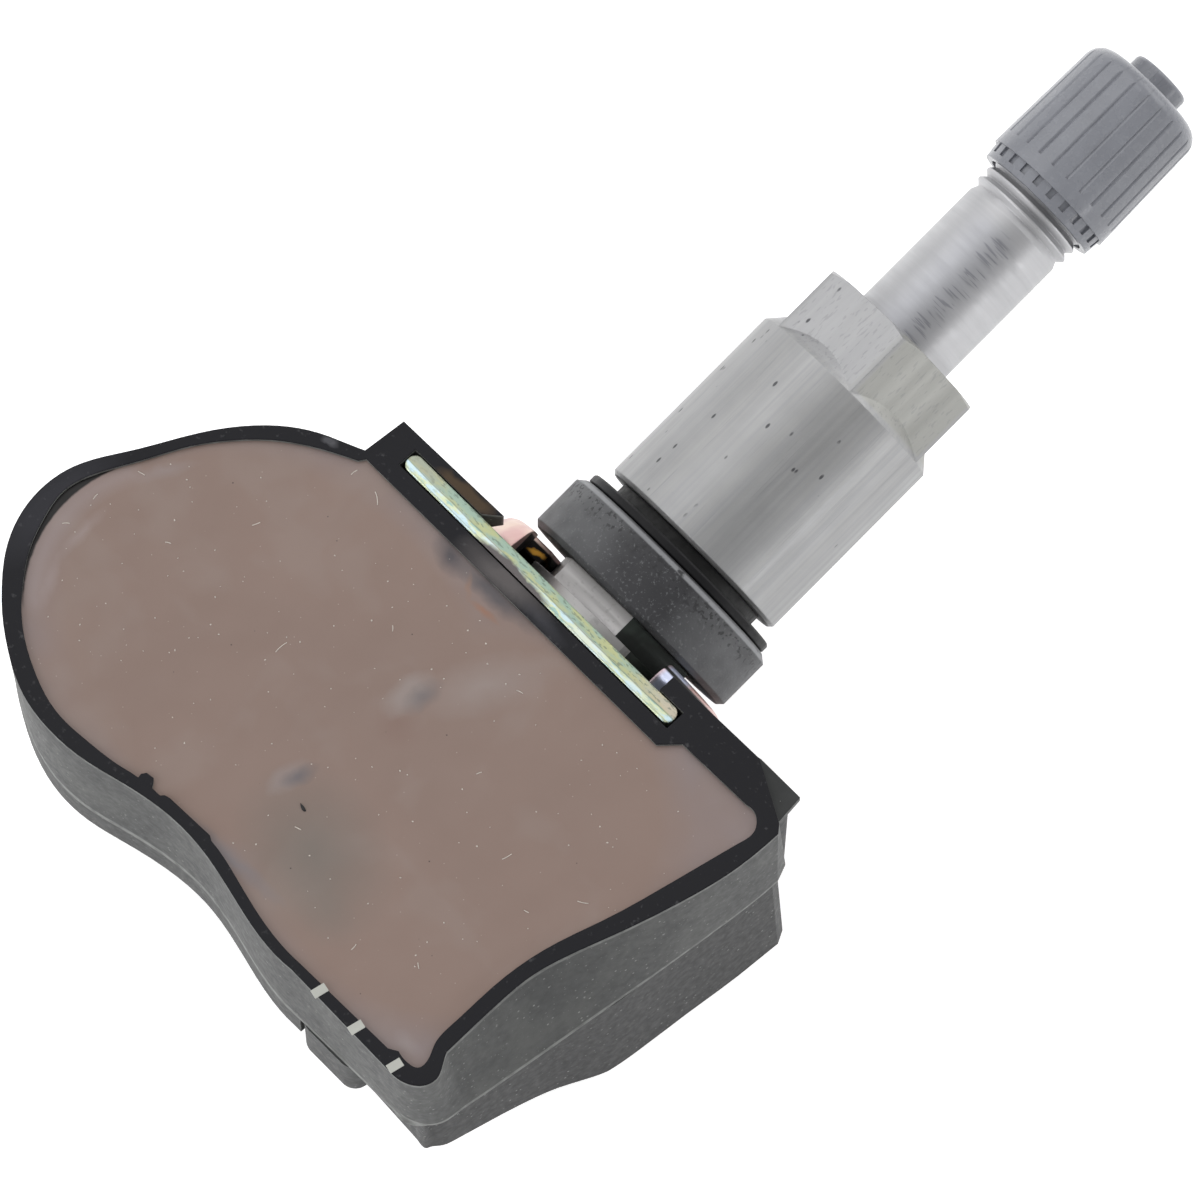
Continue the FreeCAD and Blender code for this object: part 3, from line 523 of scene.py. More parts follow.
CAP = Finish("cap_plastic", srgb(131, 133, 140), 0.27, mottle=0.05, mottle_scale=0.5, relief=0.006,
             edge=0.06)
SOFT = Finish("soft_seal", srgb(38, 38, 40), 0.65)
BRASS = Finish("core_brass", srgb(196, 160, 92), 0.3, 1.0, Grain.ROUND_VALVE)
SPRING = Finish("spring_steel", srgb(170, 172, 176), 0.3, 1.0)
CELL = Finish("cell_steel", srgb(190, 191, 194), 0.25, 1.0)
BOARD = Finish("board_mask", srgb(28, 92, 52), 0.35)
CHIP = Finish("chip_package", srgb(34, 34, 36), 0.5)
FERRITE = Finish("ferrite", srgb(52, 52, 55), 0.55)
COPPER = Finish("copper_wire", srgb(200, 120, 82), 0.3, 1.0)
CERAMIC = Finish("ceramic_chips", srgb(176, 150, 118), 0.4)
MARK = Finish("rim_mark", srgb(186, 187, 180), 0.5, mottle=0.06, relief=0.01, edge=0.0)
SPECK = Finish("pale_dust", srgb(205, 197, 188), 0.8, mottle=0.1, edge=0.0)
PIT = Finish("dark_speck", srgb(22, 22, 24), 0.6, edge=0.0)


def plain_material(finish: Finish) -> bpy.types.Material:
    """Return a material with nothing beyond its finish.

    Args:
        finish: The finish.

    Returns:
        The material.
    """
    return base_graph(finish)[0].material


def housing_material() -> bpy.types.Material:
    """Return the moulded plastic: painted shade makes the rim's top nearly black, with dust on it; the
    walls are speckled and patchily lighter, from texture and painted sheen, with painted highlights on
    ledges, lip and edges and painted shade below the end ledge.

    Returns:
        The material.
    """
    graph, colour, where = base_graph(HOUSING)
    height = graph.axis(where, "Z")
    flat = graph.ramp(graph.facing("Z"), 0.6, 0.9)
    wall = graph.math("SUBTRACT", 1.0, flat)
    # Walls patchily lighter: their rough texture, together with painted sheen of the side-lit walls.
    wall_texture_and_sheen = graph.ramp(graph.noise(where, 0.22, 3.0), 0.4, 0.65, 0.0, 0.45)
    colour = graph.mix(graph.math("MULTIPLY", wall_texture_and_sheen, wall), colour, srgb(92, 93, 91))
    broken = graph.ramp(graph.noise(where, 1.1, 4.0), 0.35, 0.6, 0.35, 1.0)
    end_wall = graph.ramp(graph.axis(where, "X"), END_WALL_X, END_WALL_X + 0.3)
    # Painted highlights: pale lines along the ledges and along the rim's lip on the walls, broken up by
    # noise.
    ledge_highlight = graph.math("MAXIMUM", graph.band(height, LEDGE_Z - 0.05, LEDGE_Z + 0.6, 0.2),
                       graph.math("MULTIPLY", end_wall,
                                  graph.band(height, END_LEDGE_Z - 0.2, END_LEDGE_Z + 0.35, 0.1)))
    lip_highlight = graph.math("MULTIPLY", graph.band(height, TOP_Z - 0.3, TOP_Z + 1, 0.1), 0.7)
    lines = graph.math("MULTIPLY", graph.math("MAXIMUM", ledge_highlight, lip_highlight), graph.math("MULTIPLY", wall, broken))
    # Painted shade: the walls below the end ledge darker, more so on the end wall.
    lower = graph.ramp(height, END_LEDGE_Z - 0.25, END_LEDGE_Z - 0.3, 0.0, 0.5)
    lower = graph.math("MULTIPLY", lower, graph.math("ADD", graph.math("MULTIPLY", end_wall, 0.8), 1.0))
    colour = graph.mix(graph.math("MULTIPLY", lower, wall), colour, srgb(50, 50, 51))
    grit = graph.ramp(graph.cells(where, 1.8), 0.17, 0.1)
    chosen = graph.ramp(graph.noise(where, 0.45, 2.0), 0.45, 0.6, 0.15, 0.7)
    colour = graph.mix(graph.math("MULTIPLY", graph.math("MULTIPLY", grit, chosen), wall), colour,
                       srgb(146, 147, 144))
    # Painted highlight along the walls' edges, found from the bevel normal.
    patchy_painted_light = graph.math("MULTIPLY", graph.math("MULTIPLY", graph.edges(0.16), wall), broken)
    colour = graph.mix(graph.math("MULTIPLY", graph.math("MAXIMUM", lines, patchy_painted_light), 0.75),
                       colour, srgb(142, 144, 141))
    # Painted shade: the rim's top painted near black, darker than the walls of the same plastic; the paler
    # flecks on it are dust.
    top = graph.math("MULTIPLY", flat, graph.ramp(height, TOP_Z - 0.35, TOP_Z - 0.3))
    dusty = graph.ramp(graph.noise(where, 2.2, 5.0), 0.62, 0.75, 0.0, 0.35)
    colour = graph.mix(top, colour, graph.mix(dusty, srgb(26, 26, 30), srgb(98, 98, 100)))
    ragged = graph.warp(where, 0.7, 0.5)
    for spot, tone in ((Spot(-5.2, -10.0, 8.6, 2.6, 4, 0.9, 0.8), srgb(98, 94, 94)),
                       (Spot(-1.6, -10.3, 5.0, 1.4, 0, 0.5, 0.9), srgb(72, 72, 78)),
                       (Spot(-11.0, -7.9, 5.4, 1.7, 4, 0.85, 0.4), srgb(80, 65, 48)),
                       (Spot(-19.4, -11.6, 1.6, 0.8, 25, 0.7, 0.5), srgb(92, 92, 96)),
                       (Spot(-28.6, -27.0, 5.0, 13.0, 0, 0.45, 0.7), srgb(62, 62, 68))):
        colour = graph.mix(graph.math("MULTIPLY", graph.patch(ragged, spot), top), colour, tone)
    graph.feed(graph.shader.inputs["Base Color"], colour)
    graph.gloss(top, 0.3, 0.5)
    return graph.material


POTTING_SPOTS: tuple[tuple[Spot, Colour], ...] = (
    (Spot(-0.5, -31.0, 13.0, 10.0, -20, 0.75, 1.0), srgb(114, 109, 103)),
    (Spot(2.5, -32.8, 6.0, 4.0, -20, 0.3, 1.0), srgb(118, 114, 108)),
    (Spot(-0.9, -15.6, 10.0, 4.2, 62, 0.6, 1.0), srgb(156, 145, 141)),
    (Spot(-3.1, -21.4, 4.2, 3.4, 0, 0.5, 1.0), srgb(130, 105, 96)),
    (Spot(-3.9, -19.5, 4.4, 2.6, 85, 0.55, 0.6), srgb(154, 145, 142)),
    (Spot(-3.2, -19.0, 3.3, 1.8, 82, 0.5, 0.85), srgb(88, 88, 94)),
    (Spot(-5.2, -28.7, 3.6, 2.0, 80, 0.45, 0.6), srgb(148, 139, 138)),
    (Spot(-4.8, -28.2, 2.8, 1.4, 78, 0.6, 0.85), srgb(84, 85, 93)),
    # Painted shadow: the darker patches at the foot of the front wall, where the potting meets it.
    (Spot(-8.7, -11.3, 3.6, 2.2, -20, 0.8, 0.9), srgb(62, 63, 71)),
    (Spot(-5.0, -11.1, 8.0, 1.9, 3, 0.85, 0.8), srgb(84, 82, 86)),
    (Spot(-6.4, -11.9, 2.4, 0.55, -50, 0.5, 0.9), srgb(150, 118, 98)),
    (Spot(-4.5, -12.4, 2.8, 0.6, 10, 0.6, 0.9), srgb(154, 108, 82)),
    (Spot(-25.0, -30.4, 4.2, 1.0, 120, 0.3, 0.9), srgb(164, 152, 152)),
    (Spot(-25.9, -27.0, 5.0, 1.1, 95, 0.35, 0.9), srgb(164, 152, 152)),
    (Spot(-25.2, -20.3, 5.0, 1.2, 60, 0.4, 0.9), srgb(152, 142, 142)),
    (Spot(-4.0, -34.9, 10.0, 1.4, 4, 0.6, 0.9), srgb(122, 120, 126)),
    (Spot(12.4, -35.2, 2.6, 1.2, 0, 0.5, 0.9), srgb(152, 142, 140)),
)


def potting_material() -> bpy.types.Material:
    """Return the potting compound: mauve haze near its edges, lighter and darker patches, painted shadow by
    the front wall and specks.

    Returns:
        The material.
    """
    graph, colour, where = base_graph(POTTING)
    middle = graph.math("MAXIMUM", graph.patch(where, Spot(-11.5, -23.8, 35.5, 26.5, 0, 1.0, 0.16)),
                        graph.patch(where, Spot(4.5, -23.0, 28.5, 29.5, 0, 1.0, 0.16)))
    cloud = graph.ramp(graph.noise(where, 0.16, 2.0), 0.35, 0.65, 0.2, 0.6)
    haze = graph.math("MULTIPLY", graph.math("SUBTRACT", 1.0, middle), cloud)
    colour = graph.mix(haze, colour, srgb(138, 129, 131))
    streak = graph.ramp(graph.noise(graph.warp(where, 0.12, 3.0), 0.2, 2.0), 0.52, 0.66, 0.0, 0.3)
    colour = graph.mix(streak, colour, srgb(148, 133, 126))
    ragged = graph.warp(where, 0.9, 0.35)
    for spot, tone in POTTING_SPOTS:
        colour = graph.mix(graph.patch(ragged, spot), colour, tone)
    across = graph.vector("SUBTRACT", graph.warp(where, 1.5, 0.06), (*CRESCENT_MIDDLE, 0.0))
    across = graph.vector("MULTIPLY", across.outputs["Vector"], (1, 1, 0))
    away = graph.vector("LENGTH", across.outputs["Vector"], None).outputs["Value"]
    left = graph.math("MULTIPLY", graph.ramp(graph.axis(where, "X"), -23.5, -24.5),
                      graph.band(graph.axis(where, "Y"), *CRESCENT_Y, 0.9))
    veil = graph.math("MULTIPLY", graph.band(away, CRESCENT_R - 1.1, CRESCENT_R, 0.9), 0.35)
    colour = graph.mix(graph.math("MULTIPLY", veil, left), colour, srgb(158, 146, 146))
    shadow = graph.math("MULTIPLY", graph.ramp(away, CRESCENT_R, CRESCENT_R + 0.12), left)
    colour = graph.mix(shadow, colour, srgb(12, 9, 8))
    pale = graph.ramp(graph.cells(where, 1.3), 0.06, 0.03, 0.0, 0.45)
    colour = graph.mix(pale, colour, srgb(196, 188, 178))
    dark = graph.ramp(graph.cells(where, 0.55), 0.035, 0.02, 0.0, 0.8)
    colour = graph.mix(dark, colour, srgb(58, 50, 48))
    graph.feed(graph.shader.inputs["Base Color"], colour)
    wave = graph.math("ADD", graph.math("MULTIPLY", graph.noise(where, 0.13, 2.0), 30.0),
                      graph.noise(where, 1.2, 3.0))
    graph.relief(wave, 0.012)
    return graph.material


def plating_material() -> bpy.types.Material:
    """Return the bracket's thin plating, which shimmers blue, green, yellow and pink; the cup's hollow is
    painted shade with a painted gold glint, and a painted shade line runs along the bar.

    Returns:
        The material.
    """
    graph, colour, where = base_graph(PLATING)
    plain = graph.place(Grain.PLAIN)
    across = graph.axis(plain, "Y")
    tint = graph.noise(graph.place(Grain.STREAKS), 2.2, 4.0)
    wide = graph.noise(plain, 0.35, 2.0)
    rear = graph.mix(graph.ramp(tint, 0.42, 0.52), srgb(186, 208, 214), srgb(196, 204, 170))
    rear = graph.mix(graph.ramp(tint, 0.56, 0.62), rear, srgb(150, 180, 172))
    rear = graph.mix(graph.ramp(wide, 0.5, 0.62, 0.0, 0.6), rear, srgb(206, 214, 206))
    front = graph.mix(graph.ramp(tint, 0.42, 0.6), srgb(140, 160, 146), srgb(164, 168, 128))
    front = graph.mix(graph.ramp(graph.axis(plain, "X"), 4.5, 8.0, 0.0, 0.8), front, srgb(182, 168, 150))
    dashes = graph.ramp(graph.noise(graph.place(Grain.STREAKS), 5.5, 2.0), 0.56, 0.62, 0.0, 0.6)
    front = graph.mix(dashes, front, srgb(92, 104, 96))
    rear = graph.mix(graph.math("MULTIPLY", dashes, 0.4), rear, srgb(104, 128, 132))
    ends = graph.ramp(graph.axis(plain, "X"), -11.5, -13.5, 0.0, 0.7)
    front = graph.mix(ends, front, srgb(150, 150, 134))
    wander = graph.math("MULTIPLY", graph.math("SUBTRACT", graph.noise(plain, 0.25, 1.0), 0.5), 0.25)
    lane = graph.math("ADD", across, wander)
    bar = graph.mix(graph.ramp(lane, -8.86, -8.8), rear, front)
    # Painted shade of a groove: a thin dark line along the bar.
    bar = graph.mix(graph.math("MULTIPLY", graph.band(lane, -8.92, -8.83, 0.06), 0.7), bar,
                    srgb(110, 112, 88))
    bar = graph.mix(graph.math("MULTIPLY", graph.band(lane, -9.3, -9.24, 0.05), 0.5), bar,
                    srgb(120, 128, 112))
    cup = graph.mix(graph.ramp(graph.noise(plain, 0.35, 2.0), 0.45, 0.6), srgb(198, 162, 158),
                    srgb(211, 187, 174))
    cup = graph.mix(graph.ramp(graph.axis(plain, "X"), 5.6, 6.0), cup, srgb(206, 212, 236))
    cup = graph.mix(graph.ramp(graph.axis(plain, "X"), 7.0, 7.4), cup, srgb(214, 176, 170))
    colour = graph.mix(graph.ramp(across, -8.2, -8.1), bar, cup)
    smear = graph.patch(graph.warp(plain, 0.8, 0.35), Spot(-5.3, -9.5, 7.4, 1.35, 2, 1.0, 0.3))
    colour = graph.mix(smear, colour, srgb(92, 88, 88))
    turned = graph.place(Grain.PLAIN, turned=True)
    # Painted shade: the cup's hollow near black inside, with a painted gold glint, a reflection of the
    # plating, on its far side.
    painted_hollow_shade = graph.math("MULTIPLY", graph.ramp(graph.off_axis(turned), 9.3, 9.2),
                        graph.ramp(graph.axis(turned, "Y"), -4.95, -5.05))
    painted_hollow_shade = graph.math("MULTIPLY", painted_hollow_shade, graph.ramp(graph.axis(plain, "Z"), 6.9, 6.8))
    painted_gold_glint = graph.patch(graph.warp(plain, 2.0, 0.2), Spot(-6.9, -5.5, 1.9, 0.45, 15, 0.9, 0.6))
    colour = graph.mix(painted_hollow_shade, colour, graph.mix(painted_gold_glint, srgb(12, 10, 9), srgb(206, 152, 58)))
    graph.feed(graph.shader.inputs["Base Color"], colour)
    return graph.material


def stem_material() -> bpy.types.Material:
    """Return the turned stem: chatter marks and a painted shade band on its tail, a matt neck with one side
    painted dark as a reflection.

    Returns:
        The material.
    """
    graph, colour, where = base_graph(TURNED)
    turned = graph.place(Grain.PLAIN, turned=True)
    across, along = graph.axis(turned, "X"), graph.axis(turned, "Y")
    rings = graph.ramp(graph.noise(where, 7.0, 2.0), 0.45, 0.62, 0.0, 0.1)
    colour = graph.mix(rings, colour, srgb(160, 160, 165))
    shade = graph.math("MULTIPLY", graph.band(across, -1.4, 1.6, 1.4), graph.band(along, 13.0, 29.6, 1.0))
    colour = graph.mix(graph.math("MULTIPLY", shade, 0.3), colour, srgb(146, 148, 158))
    tick = graph.ramp(graph.noise(where, 8.0, 1.0), 0.52, 0.57)
    shift = graph.math("MULTIPLY", graph.math("SUBTRACT", graph.noise(where, 4.0, 1.0), 0.5), 2.4)
    lane = graph.math("ADD", across, shift)
    group = graph.ramp(graph.noise(where, 1.2, 1.0), 0.38, 0.46)
    ticks = graph.math("MULTIPLY", graph.math("MULTIPLY", tick, group), graph.band(lane, 0.7, 1.7, 0.25))
    ticks = graph.math("MULTIPLY", ticks, graph.band(along, 13.0, 29.6, 0.5))
    colour = graph.mix(graph.math("MULTIPLY", ticks, 0.45), colour, srgb(104, 105, 114))
    neck = graph.ramp(along, -4.2, -4.3)
    speck = graph.ramp(graph.noise(turned, 2.5, 3.0), 0.6, 0.7, 0.0, 0.4)
    colour = graph.mix(neck, colour, graph.mix(speck, srgb(182, 180, 180), srgb(148, 146, 146)))
    # Painted reflection: the neck's side facing +X painted dark, the dark housing mirrored in it, with a
    # painted greenish sheen.
    painted_reflection_side = graph.math("MULTIPLY", neck, graph.ramp(graph.facing("X"), 0.4, 0.5))
    sheen = graph.ramp(graph.noise(graph.warp(turned, 0.4, 1.0), 0.5, 2.0), 0.5, 0.7, 0.0, 0.5)
    colour = graph.mix(painted_reflection_side, colour, graph.mix(sheen, srgb(64, 67, 65), srgb(90, 102, 94)))
    graph.feed(graph.shader.inputs["Base Color"], colour)
    return graph.material


def nut_material() -> bpy.types.Material:
    """Return the nut's drawn metal: faint lines along it, dark pits and brushed flats, the right-hand flats
    painted in shade.

    Returns:
        The material.
    """
    graph, colour, where = base_graph(DRAWN)
    plain = graph.place(Grain.PLAIN, turned=True)
    across, along = graph.axis(plain, "X"), graph.axis(plain, "Y")
    lines = graph.ramp(graph.noise(where, 4.0, 3.0), 0.4, 0.7, 0.0, 0.35)
    colour = graph.mix(lines, colour, srgb(142, 143, 147))
    broad = graph.ramp(graph.noise(where, 0.9, 2.0), 0.4, 0.62, 0.0, 0.12)
    colour = graph.mix(broad, colour, srgb(138, 140, 145))
    scratch = graph.ramp(graph.noise(where, 9.0, 1.0), 0.68, 0.72, 0.0, 0.25)
    colour = graph.mix(scratch, colour, srgb(128, 129, 132))
    flats = graph.math("MULTIPLY", graph.ramp(along, 15.6, 15.8),
                       graph.ramp(graph.off_axis(plain), 7.02, 6.95))
    colour = graph.mix(graph.math("MULTIPLY", flats, 0.6), colour, srgb(170, 170, 172))
    # Painted shade: the flats on the right-hand side darker and warmer than the others.
    right = graph.math("MULTIPLY", flats, graph.ramp(across, 1.2, 1.4))
    colour = graph.mix(graph.math("MULTIPLY", right, 0.7), colour, srgb(156, 156, 150))
    dash = graph.ramp(graph.noise(graph.place(Grain.DASHES), 6.0, 1.0), 0.6, 0.66)
    colour = graph.mix(graph.math("MULTIPLY", graph.math("MULTIPLY", dash, flats), 0.35), colour,
                       srgb(134, 134, 136))
    pit = graph.ramp(graph.cells(graph.place(Grain.PITS), 1.6), 0.19, 0.12)
    left = graph.ramp(across, -1.2, -2.4, 0.0, 0.13)
    chosen = graph.ramp(graph.math("ADD", graph.noise(plain, 0.45, 1.0), left), 0.61, 0.66)
    colour = graph.mix(graph.math("MULTIPLY", graph.math("MULTIPLY", pit, chosen), 0.85),
                       colour, srgb(66, 66, 70))
    graph.feed(graph.shader.inputs["Base Color"], colour)
    return graph.material


def seat_material() -> bpy.types.Material:
    """Return the seat's dark rubber: sides lighter with dust and painted sheen, dust specks, pits by its
    front edge, a painted highlight along its nicked lip, painted shade on its front face.

    Returns:
        The material.
    """
    graph, colour, where = base_graph(SEAT_RUBBER)
    turned = graph.place(Grain.PLAIN, turned=True)
    along = graph.axis(turned, "Y")
    across = graph.axis(turned, "X")
    # The round surface lighter at both sides than in the middle: dust there, together with painted sheen.
    sides = graph.math("MAXIMUM", graph.ramp(across, -0.8, -6.5), graph.ramp(across, 3.2, 7.0, 0.0, 0.8))
    dust_and_side_sheen = graph.math("MULTIPLY", graph.ramp(graph.noise(where, 0.5, 4.0), 0.3, 0.6, 0.5, 1.0), sides)
    colour = graph.mix(dust_and_side_sheen, colour, srgb(110, 111, 113))
    dust = graph.ramp(graph.noise(where, 4.5, 4.0), 0.58, 0.7, 0.0, 0.45)
    colour = graph.mix(dust, colour, srgb(126, 128, 130))
    pits = graph.math("MULTIPLY", graph.ramp(graph.noise(where, 3.0, 2.0), 0.55, 0.62),
                      graph.band(along, -1.5, -0.3, 0.7))
    colour = graph.mix(graph.math("MULTIPLY", pits, 0.8), colour, srgb(26, 26, 28))
    # Painted highlight: a pale line along the lip, broken into nicks.
    lip_highlight = graph.math("MULTIPLY", graph.band(along, -0.42, -0.12, 0.1),
                     graph.ramp(graph.noise(where, 0.8, 3.0), 0.66, 0.6))
    colour = graph.mix(graph.math("MULTIPLY", lip_highlight, 0.75), colour, srgb(150, 151, 154))
    # Painted shade: the front face, in the gap towards the nut, near black.
    face = graph.ramp(along, -0.02, 0.03)
    colour = graph.mix(face, colour, srgb(12, 12, 13))
    graph.feed(graph.shader.inputs["Base Color"], colour)
    return graph.material


def cap_material() -> bpy.types.Material:
    """Return the cap's grey plastic, with painted shade as a dark line down each flute.

    Returns:
        The material.
    """
    graph, colour, where = base_graph(CAP)
    turned = graph.place(Grain.PLAIN, turned=True)
    across, along, high = (graph.axis(turned, name) for name in ("X", "Y", "Z"))
    angle = graph.math("MULTIPLY", graph.math("ARCTAN2", across, high), CAP_FLUTES / math.tau)
    off = graph.math("ABSOLUTE", graph.math("SUBTRACT", angle, graph.math("ROUND", angle, 0.0)), 0.0)
    # Painted shade: a dark line down each flute, patchy in strength.
    painted_flute_shade = graph.math("MULTIPLY", graph.ramp(off, 0.075, 0.03), graph.ramp(along, 34.6, 35.2))
    patchy_painted_light = graph.ramp(graph.noise(turned, 0.5, 2.0), 0.35, 0.6, 0.0, 0.3)
    colour = graph.mix(graph.math("MULTIPLY", painted_flute_shade, patchy_painted_light), colour, srgb(80, 82, 89))
    scuff = graph.ramp(graph.noise(where, 3.0, 4.0), 0.55, 0.75, 0.0, 0.25)
    colour = graph.mix(scuff, colour, srgb(156, 159, 165))
    graph.feed(graph.shader.inputs["Base Color"], colour)
    return graph.material


MATERIALS: dict[str, Callable[[], bpy.types.Material]] = {
    "housing": housing_material,
    "potting": potting_material,
    "bracket": plating_material,
    "stem": stem_material,
    "rubber_seat": seat_material,
    "seat_ring": lambda: plain_material(RING),
    "collar_nut": nut_material,
    "valve_cap": cap_material,
    "cap_seal": lambda: plain_material(SOFT),
    "core_body": lambda: plain_material(BRASS),
    "core_gasket": lambda: plain_material(SOFT),
    "core_pin": lambda: plain_material(BRASS),
    "core_plunger": lambda: plain_material(BRASS),
    "core_seal": lambda: plain_material(SOFT),
    "core_spring": lambda: plain_material(SPRING),
    "coin_cell": lambda: plain_material(CELL),
    "cell_tab_positive": lambda: plain_material(SPRING),
    "cell_tab_negative": lambda: plain_material(SPRING),
    "circuit_board": lambda: plain_material(BOARD),
    "sensing_chip": lambda: plain_material(CHIP),
    "port_seal": lambda: plain_material(SOFT),
    "coil_core": lambda: plain_material(FERRITE),
    "coil_winding": lambda: plain_material(COPPER),
    "clock_crystal": lambda: plain_material(CELL),
    "antenna_wire": lambda: plain_material(COPPER),
    "chip_capacitors": lambda: plain_material(CERAMIC),
}


@dataclass(frozen=True)
class PhotoCamera:
    """The photograph's camera, in the part's frame."""

    azimuth: float = 45.0
    elevation: float = 72.0
    roll: float = 0.9
    distance: float = 589.0
    lens: float = 277.5
    sensor: float = 36.0
    offset_x: float = 4.731
    offset_y: float = 2.057

    def axes(self) -> tuple[Vector, Vector, Vector]:
        """Return the camera's right, up and backward directions.

        Returns:
            The three directions.
        """
        around, high, roll = (math.radians(v) for v in (self.azimuth, self.elevation, self.roll))
        back = Vector((math.cos(high) * math.sin(around), -math.cos(high) * math.cos(around),
                       math.sin(high)))
        flat = Vector((math.cos(around), math.sin(around), 0))
        upright = back.cross(flat)
        right = math.cos(roll) * flat + math.sin(roll) * upright
        up = -math.sin(roll) * flat + math.cos(roll) * upright
        return right, up, back

    def add(self) -> None:
        """Create the camera and make it the scene's own."""
        right, up, back = self.axes()
        place = (back * self.distance - right * self.offset_x - up * self.offset_y) * MM
        camera = bpy.data.objects.new("camera", bpy.data.cameras.new("camera"))
        bpy.context.scene.collection.objects.link(camera)
        turn = Matrix((right, up, back)).transposed().to_4x4()
        camera.matrix_world = Matrix.Translation(place) @ turn
        camera.data.lens = self.lens
        camera.data.sensor_width = self.sensor
        camera.data.clip_start = 0.05
        camera.data.clip_end = 20
        bpy.context.scene.camera = camera


@dataclass(frozen=True)
class Lamp:
    """A soft rectangular lamp that shines at the part."""

    name: str
    place: Colour
    width: float
    height: float
    power: float
    colour: Colour = (1.0, 1.0, 1.0)

    def add(self) -> None:
        """Create the lamp."""
        light = bpy.data.lights.new(self.name, "AREA")
        light.shape = "RECTANGLE"
        light.size = self.width * MM
        light.size_y = self.height * MM
        light.energy = self.power
        light.color = self.colour
        lamp = bpy.data.objects.new(self.name, light)
        bpy.context.scene.collection.objects.link(lamp)
        lamp.location = Vector(self.place) * MM
        aim = Vector((0, -5 * MM, 0)) - lamp.location
        lamp.rotation_euler = aim.to_track_quat("-Z", "Y").to_euler()


